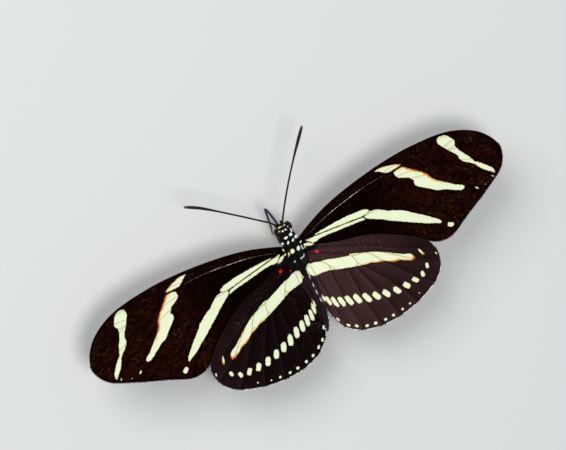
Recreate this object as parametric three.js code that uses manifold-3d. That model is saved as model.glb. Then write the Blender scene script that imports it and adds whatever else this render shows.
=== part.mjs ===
// Zebra longwing butterfly, a life-size still model that stands with its wings spread flat.
// Millimetres, +Z up. The head faces -Y and the animal's left is +X.

import * as THREE from "three";
import { mergeVertices } from "three/addons/utils/BufferGeometryUtils.js";
import Module from "manifold-3d";

const wasm = await Module();
wasm.setup();

// Driving dimensions
const GAP = 0.3; // between two parts that touch
const BODY_HEIGHT = 10; // body axis above the floor
const STICK = 0.5; // thinnest feeler, leg or membrane

const WING = {
  thickness: STICK,
  rootRise: 1.35, // forewing root above the body axis
  dihedral: THREE.MathUtils.degToRad(5),
  droop: 0.0009, // downward bend toward the tip, per millimetre of span
  hindDrop: 1.2, // hindwing below the forewing
  veinTop: 0.16, // height of a vein's ridge on the upper face
  veinUnder: 0.1, // and on the lower face
  veinHalfWidth: 0.4,
  spacing: 2.1, // along outlines and veins
  fieldSpacing: 3.6, // between loose points of the membrane
};

const THORAX = { front: -4.9, back: 1.7, neckRadius: 1.1, waistRadius: 1.0, waistDrop: 1.05 };
const HEAD = { back: THORAX.front - 2 * GAP, front: -8.0, halfWidth: 1.4, halfHeight: 1.35, drop: 0.1 };
const HEAD_TURN = THREE.MathUtils.degToRad(9); // to the animal's left
const HEAD_MIDDLE = [0, -6.6, 0];
const HEAD_SHIFT = [-0.28, 0.1, 0];
const EYE = { x: 1.34, y: -6.8, lift: 0.05, halfWidth: 0.6, halfLength: 1.0, halfHeight: 1.05 };
const ABDOMEN = { front: THORAX.back + GAP, back: 15.05, drop: 1.35, slope: 0.45, curl: 3.3, segments: 8 };
const ABDOMEN_BEND = 0.3; // of the tip, to the animal's left
const ABDOMEN_SWAY = 0.3; // of the middle, to its right

// Colours of the sub-parts
const COLOUR = { scales: 0x1c1410, horn: 0x2a1c14, eye: 0x4a2216, feeler: 0x1d1512, leg: 0x2b2018 };

function material(color, roughness) {
  return new THREE.MeshStandardMaterial({ color, roughness, metalness: 0 });
}

// Solids and meshes

function solidOf(geometry) {
  const bare = geometry.clone();
  bare.deleteAttribute("normal");
  bare.deleteAttribute("uv");
  const merged = mergeVertices(bare, 1e-4);
  return new wasm.Manifold(
    new wasm.Mesh({
      numProp: 3,
      vertProperties: merged.attributes.position.array,
      triVerts: new Uint32Array(merged.index.array),
    }),
  );
}

function geometryOf(solid) {
  const { vertProperties, triVerts } = solid.getMesh();
  const geometry = new THREE.BufferGeometry();
  geometry.setAttribute("position", new THREE.BufferAttribute(vertProperties, 3));
  geometry.setIndex(new THREE.BufferAttribute(triVerts, 1));
  return geometry;
}

function indexed(points, triangles) {
  const geometry = new THREE.BufferGeometry();
  geometry.setAttribute("position", new THREE.Float32BufferAttribute(points.flat(), 3));
  geometry.setIndex(triangles.flat());
  return geometry;
}

function joined(...geometries) {
  return geometries.map(solidOf).reduce((whole, piece) => whole.add(piece));
}

// The largest closed body of a solid after its cuts.
function largest(solid) {
  return solid.decompose().reduce((a, b) => (b.volume() > a.volume() ? b : a));
}

function cutClear(solid, ...neighbours) {
  return geometryOf(largest(neighbours.reduce((rest, other) => rest.subtract(other), solid)));
}

function mirrored(geometry) {
  const flipped = geometry.clone().applyMatrix4(new THREE.Matrix4().makeScale(-1, 1, 1));
  const index = flipped.index.array;
  for (let i = 0; i < index.length; i += 3) [index[i + 1], index[i + 2]] = [index[i + 2], index[i + 1]];
  return flipped;
}

// Closed skin over rings of points that all have the same number of points, with a flat fan at each end.
function ringSkin(rings) {
  const sides = rings[0].length;
  const last = rings.length - 1;
  const points = rings.flat();
  const triangles = [];
  for (let ring = 0; ring < last; ring += 1) {
    for (let side = 0; side < sides; side += 1) {
      const next = (side + 1) % sides;
      const [a, b] = [ring * sides + side, ring * sides + next];
      triangles.push([a, b, a + sides], [b, b + sides, a + sides]);
    }
  }
  const centre = (ring) => ring.reduce((sum, p) => sum.map((v, k) => v + p[k] / sides), [0, 0, 0]);
  points.push(centre(rings[0]), centre(rings[last]));
  for (let side = 0; side < sides; side += 1) {
    const next = (side + 1) % sides;
    triangles.push([next, side, points.length - 2]);
    triangles.push([last * sides + side, last * sides + next, points.length - 1]);
  }
  return indexed(points, triangles);
}

// A body part lofted backward along Y. Each station is [y, z, half-width, half-height] and, where it isn't on the
// middle plane, its x. Smooth curves join them.
function bodyLoft(stations, ringCount, sides, { grow = 0, swell = () => 1 } = {}) {
  const places = new THREE.CatmullRomCurve3(stations.map(([y, z, , , x = 0]) => new THREE.Vector3(x, y, z)));
  const sizes = new THREE.CatmullRomCurve3(stations.map(([, , w, h]) => new THREE.Vector3(w, h, 0)));
  const rings = [];
  for (let i = 0; i < ringCount; i += 1) {
    const t = i / (ringCount - 1);
    const place = places.getPoint(t);
    const size = sizes.getPoint(t).multiplyScalar(swell(t));
    const stretch = grow * (2 * t - 1);
    const ring = [];
    for (let side = 0; side < sides; side += 1) {
      const angle = (-2 * Math.PI * side) / sides;
      const x = place.x + (size.x + grow) * Math.cos(angle);
      ring.push([x, place.y + stretch, BODY_HEIGHT + place.z + (size.y + grow) * Math.sin(angle)]);
    }
    rings.push(ring);
  }
  return ringSkin(rings);
}

// A round stick along a smooth curve through points, with its radius given along the way from 0 to 1.
function stick(points, radiusAt, steps, sides = 8) {
  const curve = new THREE.CatmullRomCurve3(points.map((p) => new THREE.Vector3(...p)), false, "centripetal");
  const frames = curve.computeFrenetFrames(steps, false);
  const rings = [];
  for (let i = 0; i <= steps; i += 1) {
    const place = curve.getPointAt(i / steps);
    const radius = radiusAt(i / steps);
    const ring = [];
    for (let side = 0; side < sides; side += 1) {
      const angle = (2 * Math.PI * side) / sides;
      const offset = frames.normals[i].clone().multiplyScalar(radius * Math.cos(angle));
      offset.addScaledVector(frames.binormals[i], radius * Math.sin(angle));
      ring.push(place.clone().add(offset).toArray());
    }
    rings.push(ring);
  }
  return ringSkin(rings);
}

function ball([x, y, z], rx, ry, rz, detail = 2) {
  return new THREE.IcosahedronGeometry(1, detail).scale(rx, ry, rz).translate(x, y, z);
}

const lifted = ([x, y, z]) => [x, y, BODY_HEIGHT + z];
const tapered = (from, to) => (t) => from + (to - from) * t;

// Thorax, abdomen and head

const THORAX_STATIONS = [
  [THORAX.front, -0.1, THORAX.neckRadius, THORAX.neckRadius, HEAD_SHIFT[0]],
  [-4.3, 0, 1.65, 1.6, 0.85 * HEAD_SHIFT[0]],
  [-2.7, 0.05, 2.15, 2.1],
  [-0.9, 0, 2.15, 2.1],
  [0.7, -0.45, 1.65, 1.7],
  [THORAX.back, -THORAX.waistDrop, THORAX.waistRadius, THORAX.waistRadius],
];

// The abdomen's axis runs back almost level, then curls down. It sways a little to the right, and its tip to the left.
function abdomenStation(share, halfWidth, halfHeight) {
  const y = THREE.MathUtils.lerp(ABDOMEN.front, ABDOMEN.back, share);
  const z = -(ABDOMEN.drop + ABDOMEN.slope * share + ABDOMEN.curl * share ** 3);
  const aside = ABDOMEN_BEND * share ** 6 - ABDOMEN_SWAY * Math.sin(Math.PI * share);
  return [y, z, halfWidth, halfHeight, aside];
}

const ABDOMEN_STATIONS = [
  abdomenStation(0, 1.0, 1.0),
  abdomenStation(0.17, 1.2, 1.15),
  abdomenStation(0.34, 1.24, 1.2),
  abdomenStation(0.51, 1.2, 1.22),
  abdomenStation(0.68, 1.1, 1.2),
  abdomenStation(0.85, 0.86, 1.0),
  abdomenStation(1, 0.38, 0.5),
];

const HEAD_STATIONS = [
  [HEAD.front, -0.2, 0.5, 0.55],
  [-7.6, -HEAD.drop, 1.02, 1.1],
  [-6.8, -HEAD.drop, HEAD.halfWidth, HEAD.halfHeight],
  [-6.1, -HEAD.drop, 1.32, 1.28],
  [HEAD.back, -0.1, THORAX.neckRadius, THORAX.neckRadius],
];

const THORAX_SIZE = [14, 24];
const ABDOMEN_SIZE = [3 * ABDOMEN.segments + 1, 20];
const thoraxClear = solidOf(bodyLoft(THORAX_STATIONS, ...THORAX_SIZE, { grow: GAP }));
const abdomenClear = solidOf(bodyLoft(ABDOMEN_STATIONS, ...ABDOMEN_SIZE, { grow: GAP }));
const headClear = solidOf(headTurned(bodyLoft(HEAD_STATIONS, 11, 20, { grow: GAP })));

function headTurned(geometry) {
  const around = new THREE.Vector3(...HEAD_MIDDLE);
  const turned = geometry.clone().translate(...around.clone().negate().toArray()).rotateZ(HEAD_TURN);
  return turned.translate(...around.add(new THREE.Vector3(...HEAD_SHIFT)).toArray());
}

function eyeAt(side, grow) {
  const place = lifted([side * EYE.x, EYE.y, EYE.lift]);
  return headTurned(ball(place, EYE.halfWidth + grow, EYE.halfLength + grow, EYE.halfHeight + grow, 3));
}

function makeHead() {
  const whole = solidOf(headTurned(bodyLoft(HEAD_STATIONS, 11, 20)));
  return cutClear(whole, solidOf(eyeAt(1, GAP)), solidOf(eyeAt(-1, GAP)));
}

function makeThorax() {
  return bodyLoft(THORAX_STATIONS, ...THORAX_SIZE);
}

// The abdomen narrows a little at the joint behind each of its segments.
function makeAbdomen() {
  const swell = (t) => 1 - 0.06 * (Math.round(t * 3 * ABDOMEN.segments) % 3 === 0 && t > 0 && t < 1);
  return bodyLoft(ABDOMEN_STATIONS, ...ABDOMEN_SIZE, { swell });
}

// Feelers and mouthparts

const ANTENNA_LEFT = [
  [0.3, -7.4, 0.8],
  [1.5, -9.02, 1.1],
  [2.8, -10.15, 1.4],
  [7.7, -14.3, 2.0],
  [12.3, -18.0, 2.6],
  [15.05, -19.7, 2.9],
];
const ANTENNA_RIGHT = [
  [-0.35, -7.4, 0.8],
  [-0.65, -8.1, 0.95],
  [-1.9, -10.1, 1.4],
  [-4.7, -13.9, 1.85],
  [-8.2, -18.2, 2.35],
  [-12.15, -22.65, 2.9],
];
const CLUB_START = 0.66; // where the shaft begins to thicken, as a share of its length
const CLUB_RADIUS = 0.42;

function antennaRadius(t) {
  const shaft = STICK / 2 + 0.01;
  if (t < CLUB_START) return shaft;
  const club = (t - CLUB_START) / (1 - CLUB_START);
  return shaft + (CLUB_RADIUS - shaft) * Math.sin(Math.PI * club ** 1.4) - 0.1 * club ** 6;
}

function makeAntenna(points) {
  return cutClear(solidOf(stick(points.map(lifted), antennaRadius, 30)), headClear);
}

// The feeding tube goes forward from under the head to a sharp knee, then down and back almost to the floor.
const TUBE_RADIUS = 0.27;
const TUBE_ROOT = [
  [0.05, -7.1, -1.0],
  [0.2, -8.8, -0.95],
];
const TUBE_REST = [
  [0.65, -11.0, -0.6],
  [0.84, -11.65, -0.85],
  [0.75, -10.5, -2.7],
  [0.55, -7.9, -5.9],
  [0.48, -5.6, -9.3],
];

function makeProboscis() {
  const points = [...TUBE_ROOT, ...TUBE_REST].map(lifted);
  return cutClear(solidOf(stick(points, tapered(TUBE_RADIUS, 0.25), 30)), headClear);
}

// A palp stands beside the tube's root and curves up before the face.
function makePalp(side) {
  const points = [
    [0.85, -7.1, -0.95],
    [0.88, -8.0, -1.0],
    [0.68, -8.55, -0.5],
    [0.5, -8.7, 0.1],
  ];
  const placed = points.map(([x, y, z]) => lifted([side * x, y, z]));
  const tubeRoot = stick(TUBE_ROOT.map(lifted), () => TUBE_RADIUS + GAP, 4);
  return cutClear(solidOf(headTurned(stick(placed, tapered(0.3, 0.2), 9))), headClear, solidOf(tubeRoot));
}

// Legs: a swollen thigh, a straight shin and a foot that lies along the floor on a flat sole

const FLOOR_BOX = new THREE.BoxGeometry(80, 80, 4).translate(0, 0, -2);
const MIDDLE_LEG = {
  hip: [0.9, -0.7, 8.6],
  knee: [5.2, -2.5, 7.4],
  ankle: [7.5, -3.3, 1.0],
  toe: [10.4, -4.3, 0.2],
};
const HIND_LEG = {
  hip: [0.9, 0.5, 8.3],
  knee: [4.7, 4.0, 7.0],
  ankle: [6.1, 7.2, 1.0],
  toe: [7.5, 10.2, 0.2],
};
const FRONT_LEG = [
  [0.75, -3.6, 8.9],
  [0.85, -4.5, 7.2],
  [0.8, -5.7, 6.9],
  [0.65, -6.2, 7.75],
];

function makeWalkingLeg({ hip, knee, ankle, toe }) {
  const flat = [(ankle[0] + toe[0]) / 2, (ankle[1] + toe[1]) / 2, toe[2]];
  const thigh = stick([hip, knee], (t) => 0.3 + 0.16 * Math.sin(Math.PI * t ** 0.7), 6);
  const shin = stick([knee, ankle], tapered(0.27, 0.3), 5);
  const foot = stick([ankle, flat, toe], tapered(0.27, 0.25), 8);
  const joints = [ball(knee, 0.36, 0.36, 0.36, 1), ball(ankle, 0.32, 0.32, 0.32, 1)];
  return cutClear(joined(thigh, shin, foot, ...joints), thoraxClear, solidOf(FLOOR_BOX));
}

function makeFrontLeg() {
  return cutClear(solidOf(stick(FRONT_LEG, tapered(0.38, 0.26), 12)), thoraxClear);
}

// Wings: [x, y] corner points of the left pair, x out from the body's middle and y backward

const FOREWING_OUTLINE = [
  [1.2, -3.5], [4.4, -5.3], [10.2, -7.3], [20, -9.0], [29, -9.4], [37.2, -8.3], [42.4, -5.3], [44.5, -1.4],
  [43.1, 2.1], [38.5, 4.8], [33, 7.3], [28, 9.5], [25.2, 9.1], [20.5, 5.4], [14.2, 1.7], [8.6, 0.1],
  [4.6, -1.2], [1.2, -1.6],
];
const HINDWING_OUTLINE = [
  [1.2, -1.4], [5, -2.6], [12, -2.4], [19, 2.2], [23.9, 8.2], [24.6, 11.2], [23.3, 14.5], [19.6, 16.8],
  [14.2, 18.3], [9, 18.5], [4.8, 17.4], [2.1, 15.2], [1.0, 12.4], [0.5, 9.0], [0.5, 5.0], [0.75, 2.4],
  [1.0, 1.0],
];
const FOREWING_VEINS = [
  [[1.6, -3.2], [4.5, -4.75], [10.2, -6.7], [20, -8.4], [29, -8.8], [36.8, -7.8]],
  [[2.8, -3.5], [4.2, -3.9], [6.15, -4.6], [8.0, -5.13], [10.1, -5.62], [12.6, -6.05], [15.0, -6.45],
    [18.1, -6.8], [21.6, -6.9], [29.1, -6.3], [34.4, -5.5]],
  [[17, -6.7], [24, -7.7], [30.5, -8.5]],
  [[22, -6.9], [29, -7.4], [34.5, -8.1]],
  [[32, -5.9], [36.5, -6.6], [39.3, -6.9]],
  [[34.4, -5.5], [39, -5.2], [42.2, -4.4]],
  [[34.4, -5.5], [39, -4.2], [43.3, -2.6]],
  [[23.2, -5.6], [27, -5.2], [34, -3.4], [43.4, 0.4]],
  [[23.9, -4.3], [26.8, -3.8], [29.4, -3.0], [34, -0.8], [41.3, 2.4]],
  [[23.3, -2.9], [26.6, -1.75], [30.0, 0.75], [34.4, 3.1], [37.6, 4.9]],
  [[2.0, -2.75], [4.7, -2.98], [7.2, -2.72], [9.6, -2.45], [12.3, -2.12], [14.7, -1.82], [17, -1.8],
    [19, -1.9], [23.3, -2.9]],
  [[20.5, -1.9], [24, 0.3], [27.7, 3.6], [31.3, 7.6]],
  [[14.9, -1.35], [17.9, 0.75], [21.9, 3.45], [25.2, 5.7], [27.4, 8.6]],
  [[2, -2.2], [8, -1.3], [14, 0.4], [20, 3.9], [24, 7.6]],
  [[23, -6.7], [23.8, -4.3], [23.3, -2.9]],
];
const HINDWING_VEINS = [
  [[1.8, -1.0], [3, -0.9], [5.8, 0.1], [8.8, 1.5], [12.7, 3.5], [16.7, 6.1], [21.5, 8.6]],
  [[1.8, -0.4], [5.5, 1.2], [9.4, 3.8], [13, 4.7], [17.2, 7.9], [20.5, 10.6], [24.0, 12.5]],
  [[9.4, 3.9], [12.4, 4.8], [14.4, 7.6], [19.3, 13.9], [21.3, 15.7]],
  [[9.8, 5.6], [12.5, 9.6], [15.2, 14.1], [16.6, 17.3]],
  [[9.2, 6.2], [10.2, 9.5], [11.3, 13.2], [12.5, 18]],
  [[7.6, 6.0], [7.7, 9], [7.65, 12.1], [8.6, 18.1]],
  [[1.9, 0.8], [4.1, 2.4], [6.0, 5.2], [7.6, 6.0], [9.2, 6.2], [9.8, 5.6], [9.5, 3.9]],
  [[4.8, 3.4], [4.5, 7], [4.55, 10.9], [5.0, 17.2]],
  [[1.6, 1.5], [1.9, 6], [2.1, 9.8], [2.3, 14.8]],
];

const heightAcross = (x) => WING.rootRise + Math.tan(WING.dihedral) * x - WING.droop * x * x;

function plane([x, y]) {
  return new THREE.Vector3(x, y, 0);
}

function evenPoints(curve, spacing) {
  return curve.getSpacedPoints(Math.max(2, Math.round(curve.getLength() / spacing)));
}

function segmentDistance(p, a, b) {
  const along = b.clone().sub(a);
  const t = THREE.MathUtils.clamp(p.clone().sub(a).dot(along) / along.lengthSq(), 0, 1);
  return p.distanceTo(a.clone().addScaledVector(along, t));
}

function lineDistance(p, line) {
  return Math.min(...line.slice(1).map((b, i) => segmentDistance(p, line[i], b)));
}

function isInside(p, outline) {
  let inside = false;
  outline.forEach((a, i) => {
    const b = outline[(i + 1) % outline.length];
    const crosses = a.y > p.y !== b.y > p.y && p.x < a.x + ((b.x - a.x) * (p.y - a.y)) / (b.y - a.y);
    if (crosses) inside = !inside;
  });
  return inside;
}

// A triangle of three of the points with its circumscribed circle, turned anticlockwise.
function circled(points, a, b, c) {
  const [p, q, r] = [points[a], points[b], points[c]];
  const turn = (q.x - p.x) * (r.y - p.y) - (q.y - p.y) * (r.x - p.x);
  const [pp, qq, rr] = [p.lengthSq(), q.lengthSq(), r.lengthSq()];
  const x = (pp * (q.y - r.y) + qq * (r.y - p.y) + rr * (p.y - q.y)) / (2 * turn);
  const y = (pp * (r.x - q.x) + qq * (p.x - r.x) + rr * (q.x - p.x)) / (2 * turn);
  const centre = new THREE.Vector3(x, y, 0);
  return { corners: turn > 0 ? [a, b, c] : [a, c, b], centre, radius: centre.distanceTo(p) };
}

// Delaunay triangles of the points: each new point replaces the triangles whose circles it falls in.
function delaunay(points) {
  const far = 1e4;
  const all = [...points, plane([-far, -far]), plane([far, -far]), plane([0, far])];
  const count = points.length;
  let triangles = [circled(all, count, count + 1, count + 2)];
  for (let i = 0; i < count; i += 1) {
    const rim = new Map();
    const kept = [];
    for (const triangle of triangles) {
      if (triangle.centre.distanceTo(all[i]) >= triangle.radius) {
        kept.push(triangle);
        continue;
      }
      const [a, b, c] = triangle.corners;
      for (const [from, to] of [[a, b], [b, c], [c, a]]) {
        if (!rim.delete(`${to},${from}`)) rim.set(`${from},${to}`, [from, to]);
      }
    }
    for (const [from, to] of rim.values()) kept.push(circled(all, from, to, i));
    triangles = kept;
  }
  return triangles.map((triangle) => triangle.corners).filter((corners) => Math.max(...corners) < count);
}

// Loose points of the membrane in staggered rows, none close to a vein or the edge.
function fieldPoints(outline, lines) {
  const points = [];
  const box = new THREE.Box3().setFromPoints(outline);
  const step = WING.fieldSpacing;
  for (let row = 0, y = box.min.y; y < box.max.y; row += 1, y += step * 0.87) {
    for (let x = box.min.x + (row % 2) * step * 0.5; x < box.max.x; x += step) {
      const p = plane([x, y]);
      const clear = Math.min(lineDistance(p, outline), ...lines.map((line) => lineDistance(p, line)));
      if (isInside(p, outline) && clear > WING.spacing * 0.75) points.push(p);
    }
  }
  return points;
}

// Three rows of points along a vein: its crest and the two feet of its ridge.
function ridgeRows(curve) {
  const steps = Math.max(2, Math.round(curve.getLength() / WING.spacing));
  const rows = [[], []];
  for (let i = 0; i <= steps; i += 1) {
    const place = curve.getPointAt(i / steps);
    const along = curve.getTangentAt(i / steps);
    const across = new THREE.Vector3(-along.y, along.x, 0).multiplyScalar(WING.veinHalfWidth);
    rows[0].push(place);
    rows[1].push(place.clone().add(across), place.clone().sub(across));
  }
  return rows;
}

// A wing plate whose two faces have the same triangles, with its veins raised on both.
function wingPlate(corners, veins, heightAt) {
  const outlineCurve = new THREE.CatmullRomCurve3(corners.map(plane), true, "centripetal");
  const outline = evenPoints(outlineCurve, WING.spacing).slice(0, -1);
  const curves = veins.map((vein) => new THREE.CatmullRomCurve3(vein.map(plane), false, "centripetal"));
  const lines = curves.map((curve) => evenPoints(curve, WING.spacing / 2));
  const rows = curves.map(ridgeRows);
  const spots = [...outline];
  const wanted = [...rows.flatMap((row) => row[0]), ...rows.flatMap((row) => row[1])];
  for (const p of [...wanted, ...fieldPoints(outline, lines)]) {
    const fromOthers = Math.min(...spots.map((other) => other.distanceTo(p)));
    if (fromOthers > 0.28 && lineDistance(p, outline) > 0.22 && isInside(p, outline)) spots.push(p);
  }
  const ridgeAt = (p) => {
    const distance = Math.min(...lines.map((line) => lineDistance(p, line)));
    return Math.max(0, 1 - distance / (WING.veinHalfWidth * 0.98));
  };
  const middle = (corners3) => corners3.reduce((sum, i) => sum.addScaledVector(spots[i], 1 / 3), plane([0, 0]));
  const upper = delaunay(spots).filter((corners3) => isInside(middle(corners3), [...outline, outline[0]]));
  const half = WING.thickness / 2;
  const top = spots.map((p) => [p.x, p.y, heightAt(p.x, p.y) + half + WING.veinTop * ridgeAt(p)]);
  const under = spots.map((p) => [p.x, p.y, heightAt(p.x, p.y) - half - WING.veinUnder * ridgeAt(p)]);
  const count = spots.length;
  const edges = new Map();
  for (const [a, b, c] of upper) {
    for (const [from, to] of [[a, b], [b, c], [c, a]]) {
      if (!edges.delete(`${to},${from}`)) edges.set(`${from},${to}`, [from, to]);
    }
  }
  const lower = upper.map(([a, b, c]) => [a + count, c + count, b + count]);
  const walls = [...edges.values()].flatMap(([a, b]) => [
    [b, a, a + count],
    [b, a + count, b + count],
  ]);
  return indexed([...top, ...under].map(lifted), [...upper, ...lower, ...walls]);
}

function makeForewing() {
  const plate = wingPlate(FOREWING_OUTLINE, FOREWING_VEINS, heightAcross);
  return cutClear(solidOf(plate), thoraxClear);
}

function makeHindwing() {
  const plate = wingPlate(HINDWING_OUTLINE, HINDWING_VEINS, (x) => heightAcross(x) - WING.hindDrop);
  return cutClear(solidOf(plate), thoraxClear, abdomenClear);
}

// The whole animal

const animal = new THREE.Group();

function add(name, geometry, look) {
  const mesh = new THREE.Mesh(geometry, look);
  mesh.name = name;
  animal.add(mesh);
}

function addPair(name, geometry, look) {
  add(`${name}_left`, geometry, look);
  add(`${name}_right`, mirrored(geometry), look);
}

const scaly = material(COLOUR.scales, 0.8);
const horny = material(COLOUR.horn, 0.45);
const glossy = material(COLOUR.eye, 0.2);
const feeler = material(COLOUR.feeler, 0.5);
const legLook = material(COLOUR.leg, 0.6);

add("thorax", makeThorax(), scaly);
add("abdomen", makeAbdomen(), scaly);
add("head", makeHead(), scaly);
add("eye_left", geometryOf(solidOf(eyeAt(1, 0))), glossy);
add("eye_right", geometryOf(solidOf(eyeAt(-1, 0))), glossy);
add("antenna_left", makeAntenna(ANTENNA_LEFT), feeler);
add("antenna_right", makeAntenna(ANTENNA_RIGHT), feeler);
add("palp_left", makePalp(1), horny);
add("palp_right", makePalp(-1), horny);
add("proboscis", makeProboscis(), horny);
addPair("forewing", makeForewing(), scaly);
addPair("hindwing", makeHindwing(), scaly);
addPair("foreleg", makeFrontLeg(), legLook);
addPair("midleg", makeWalkingLeg(MIDDLE_LEG), legLook);
addPair("hindleg", makeWalkingLeg(HIND_LEG), legLook);

// The origin is the middle of the model's footprint, at floor level.
const box = new THREE.Box3().setFromObject(animal);
const middleOf = box.getCenter(new THREE.Vector3());
animal.position.set(-middleOf.x, -middleOf.y, -box.min.z);

export default animal;
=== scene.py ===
"""Zebra longwing butterfly, a life-size still model with its wings spread flat.

Shapes are worked out in millimetres in the animal's own axes: x to its left, y to its tail and z up from
the middle of the body. Each finished mesh is then moved to its place on the floor, in metres.
"""

import math

import bpy
import numpy as np
from mathutils import Matrix, Vector
from mathutils.geometry import delaunay_2d_cdt


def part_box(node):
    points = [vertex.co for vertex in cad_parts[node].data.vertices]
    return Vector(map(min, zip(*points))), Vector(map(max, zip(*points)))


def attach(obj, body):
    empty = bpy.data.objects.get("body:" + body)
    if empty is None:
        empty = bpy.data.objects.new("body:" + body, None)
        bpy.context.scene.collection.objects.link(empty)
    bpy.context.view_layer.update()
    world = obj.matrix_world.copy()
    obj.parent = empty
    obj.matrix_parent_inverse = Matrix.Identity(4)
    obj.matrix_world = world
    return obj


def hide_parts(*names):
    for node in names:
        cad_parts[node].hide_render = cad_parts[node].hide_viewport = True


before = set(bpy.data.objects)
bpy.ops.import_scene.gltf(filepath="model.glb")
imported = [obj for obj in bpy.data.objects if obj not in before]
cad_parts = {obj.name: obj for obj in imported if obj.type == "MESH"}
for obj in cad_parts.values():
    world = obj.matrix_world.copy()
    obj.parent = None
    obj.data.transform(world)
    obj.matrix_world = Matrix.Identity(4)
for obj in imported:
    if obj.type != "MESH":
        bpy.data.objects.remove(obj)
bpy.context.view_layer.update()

MM = 0.001
BODY_HEIGHT = 10.0  # body axis above the floor
THORAX_FRONT = -4.9  # its y in the animal's own axes
BODY_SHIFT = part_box("thorax")[0].y / MM - THORAX_FRONT
TO_FLOOR = np.array([0.0, BODY_SHIFT, BODY_HEIGHT])
LEFT, RIGHT = 1, -1
BOTH_SIDES = (LEFT, RIGHT)
SIDE_NAMES = {LEFT: "left", RIGHT: "right"}

# Curves and distances, all in millimetres


def resampled(line, spacing):
    """The same line with evenly spaced points."""
    reach = np.r_[0, np.cumsum(np.linalg.norm(np.diff(line, axis=0), axis=1))]
    at = np.linspace(0, reach[-1], max(3, round(reach[-1] / spacing) + 1))
    return np.stack([np.interp(at, reach, line[:, k]) for k in range(line.shape[1])], axis=1)


def smooth(corners, spacing, closed=False):
    """A centripetal Catmull-Rom curve through the corners, as evenly spaced points."""
    p = np.array(corners, float)
    guide = np.vstack([p[-1], p, p[0], p[1]] if closed else [2 * p[0] - p[1], p, 2 * p[-1] - p[-2]])
    parts = []
    for a, b, c, d in zip(guide[:-3], guide[1:-2], guide[2:-1], guide[3:]):
        t1 = np.linalg.norm(b - a) ** 0.5
        t2 = t1 + np.linalg.norm(c - b) ** 0.5
        t3 = t2 + np.linalg.norm(d - c) ** 0.5
        t = np.linspace(t1, t2, 16, endpoint=False)[:, None]
        ab = a + (b - a) * t / t1
        bc = b + (c - b) * (t - t1) / (t2 - t1)
        cd = c + (d - c) * (t - t2) / (t3 - t2)
        abc = ab + (bc - ab) * t / t2
        bcd = bc + (cd - bc) * (t - t1) / (t3 - t1)
        parts.append(abc + (bcd - abc) * (t - t1) / (t2 - t1))
    return resampled(np.vstack([*parts, guide[-2]]), spacing)


def distance_to(points, line):
    """Distance of each point from a line of points."""
    start, run = line[:-1], np.diff(line, axis=0)
    length = np.maximum((run * run).sum(1), 1e-12)
    found = []
    for part in np.array_split(points, max(1, len(points) // 1500)):
        rel = part[:, None, :] - start[None]
        t = np.clip((rel * run).sum(2) / length, 0, 1)
        found.append(np.sqrt(((rel - t[..., None] * run) ** 2).sum(2).min(1)))
    return np.concatenate(found)


def is_inside(points, ring):
    """Which points lie inside a ring that doesn't repeat its first point."""
    a, b = ring, np.roll(ring, -1, axis=0)
    x, y = points[:, :1], points[:, 1:]
    rise = np.where(b[:, 1] == a[:, 1], 1e-12, b[:, 1] - a[:, 1])
    crossed = ((a[:, 1] > y) != (b[:, 1] > y)) & (x < a[:, 0] + (b[:, 0] - a[:, 0]) * (y - a[:, 1]) / rise)
    return crossed.sum(1) % 2 == 1


def depth_in(points, ring):
    """How far each point is inside a ring, negative outside."""
    away = distance_to(points, np.vstack([ring, ring[:1]]))
    return np.where(is_inside(points, ring), away, -away)


OVAL_BLUNTNESS = 3.1  # 2 for an ellipse


def depth_in_oval(points, x, y, half_length, half_width, angle):
    """The same for an oval with blunt corners, whose long axis stands at an angle to x."""
    rel = points - np.array([x, y])
    turn = np.array([[math.cos(angle), -math.sin(angle)], [math.sin(angle), math.cos(angle)]])
    shares = np.abs(rel @ turn / [half_length, half_width])
    reach = (shares**OVAL_BLUNTNESS).sum(1) ** (1 / OVAL_BLUNTNESS)
    return (1 - reach) * half_width


def step_between(value, low, high):
    """0 below low, 1 above high and smooth between."""
    t = np.clip((value - low) / (high - low), 0, 1)
    return t * t * (3 - 2 * t)


def unit(vectors):
    return vectors / np.maximum(np.linalg.norm(vectors, axis=1), 1e-9)[:, None]


# Meshes

SHARP_EDGE = math.radians(50)


def make_piece(name, points, triangles, materials, slot, replaces=(), slots=None, **per_point):
    """A mesh of triangles in its place on the floor, with its numbers per point kept as attributes."""
    mesh = bpy.data.meshes.new(name)
    mesh.vertices.add(len(points))
    mesh.vertices.foreach_set("co", ((points + TO_FLOOR) * MM).astype(np.float32).ravel())
    mesh.loops.add(3 * len(triangles))
    mesh.loops.foreach_set("vertex_index", triangles.astype(np.int32).ravel())
    mesh.polygons.add(len(triangles))
    mesh.polygons.foreach_set("loop_start", np.arange(0, 3 * len(triangles), 3, dtype=np.int32))
    for material in materials:
        mesh.materials.append(material)
    if slots is not None:
        mesh.polygons.foreach_set("material_index", slots.astype(np.int32))
    for key, values in per_point.items():
        vector = values.ndim == 2
        layer = mesh.attributes.new(key, "FLOAT_VECTOR" if vector else "FLOAT", "POINT")
        layer.data.foreach_set("vector" if vector else "value", values.astype(np.float32).ravel())
    mesh.update(calc_edges=True)
    mesh.validate()
    mesh.shade_smooth()
    mesh.set_sharp_from_angle(angle=SHARP_EDGE)
    piece = bpy.data.objects.new(name, mesh)
    bpy.context.scene.collection.objects.link(piece)
    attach(piece, "root")
    if replaces:
        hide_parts(*replaces)
    return piece


def dress(node, word, points, triangles, materials, slot, **numbers):
    """A piece that takes the place of one node of the solids and adds a word to its name."""
    return make_piece(f"{node}_{word}", points, triangles, materials, slot, replaces=[node], **numbers)


def set_map(piece, places):
    """Gives the mesh its baking map, one place for each corner of each triangle."""
    layer = piece.data.uv_layers.new(name="OFBake")
    layer.uv.foreach_set("vector", places.astype(np.float32).ravel())


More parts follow.
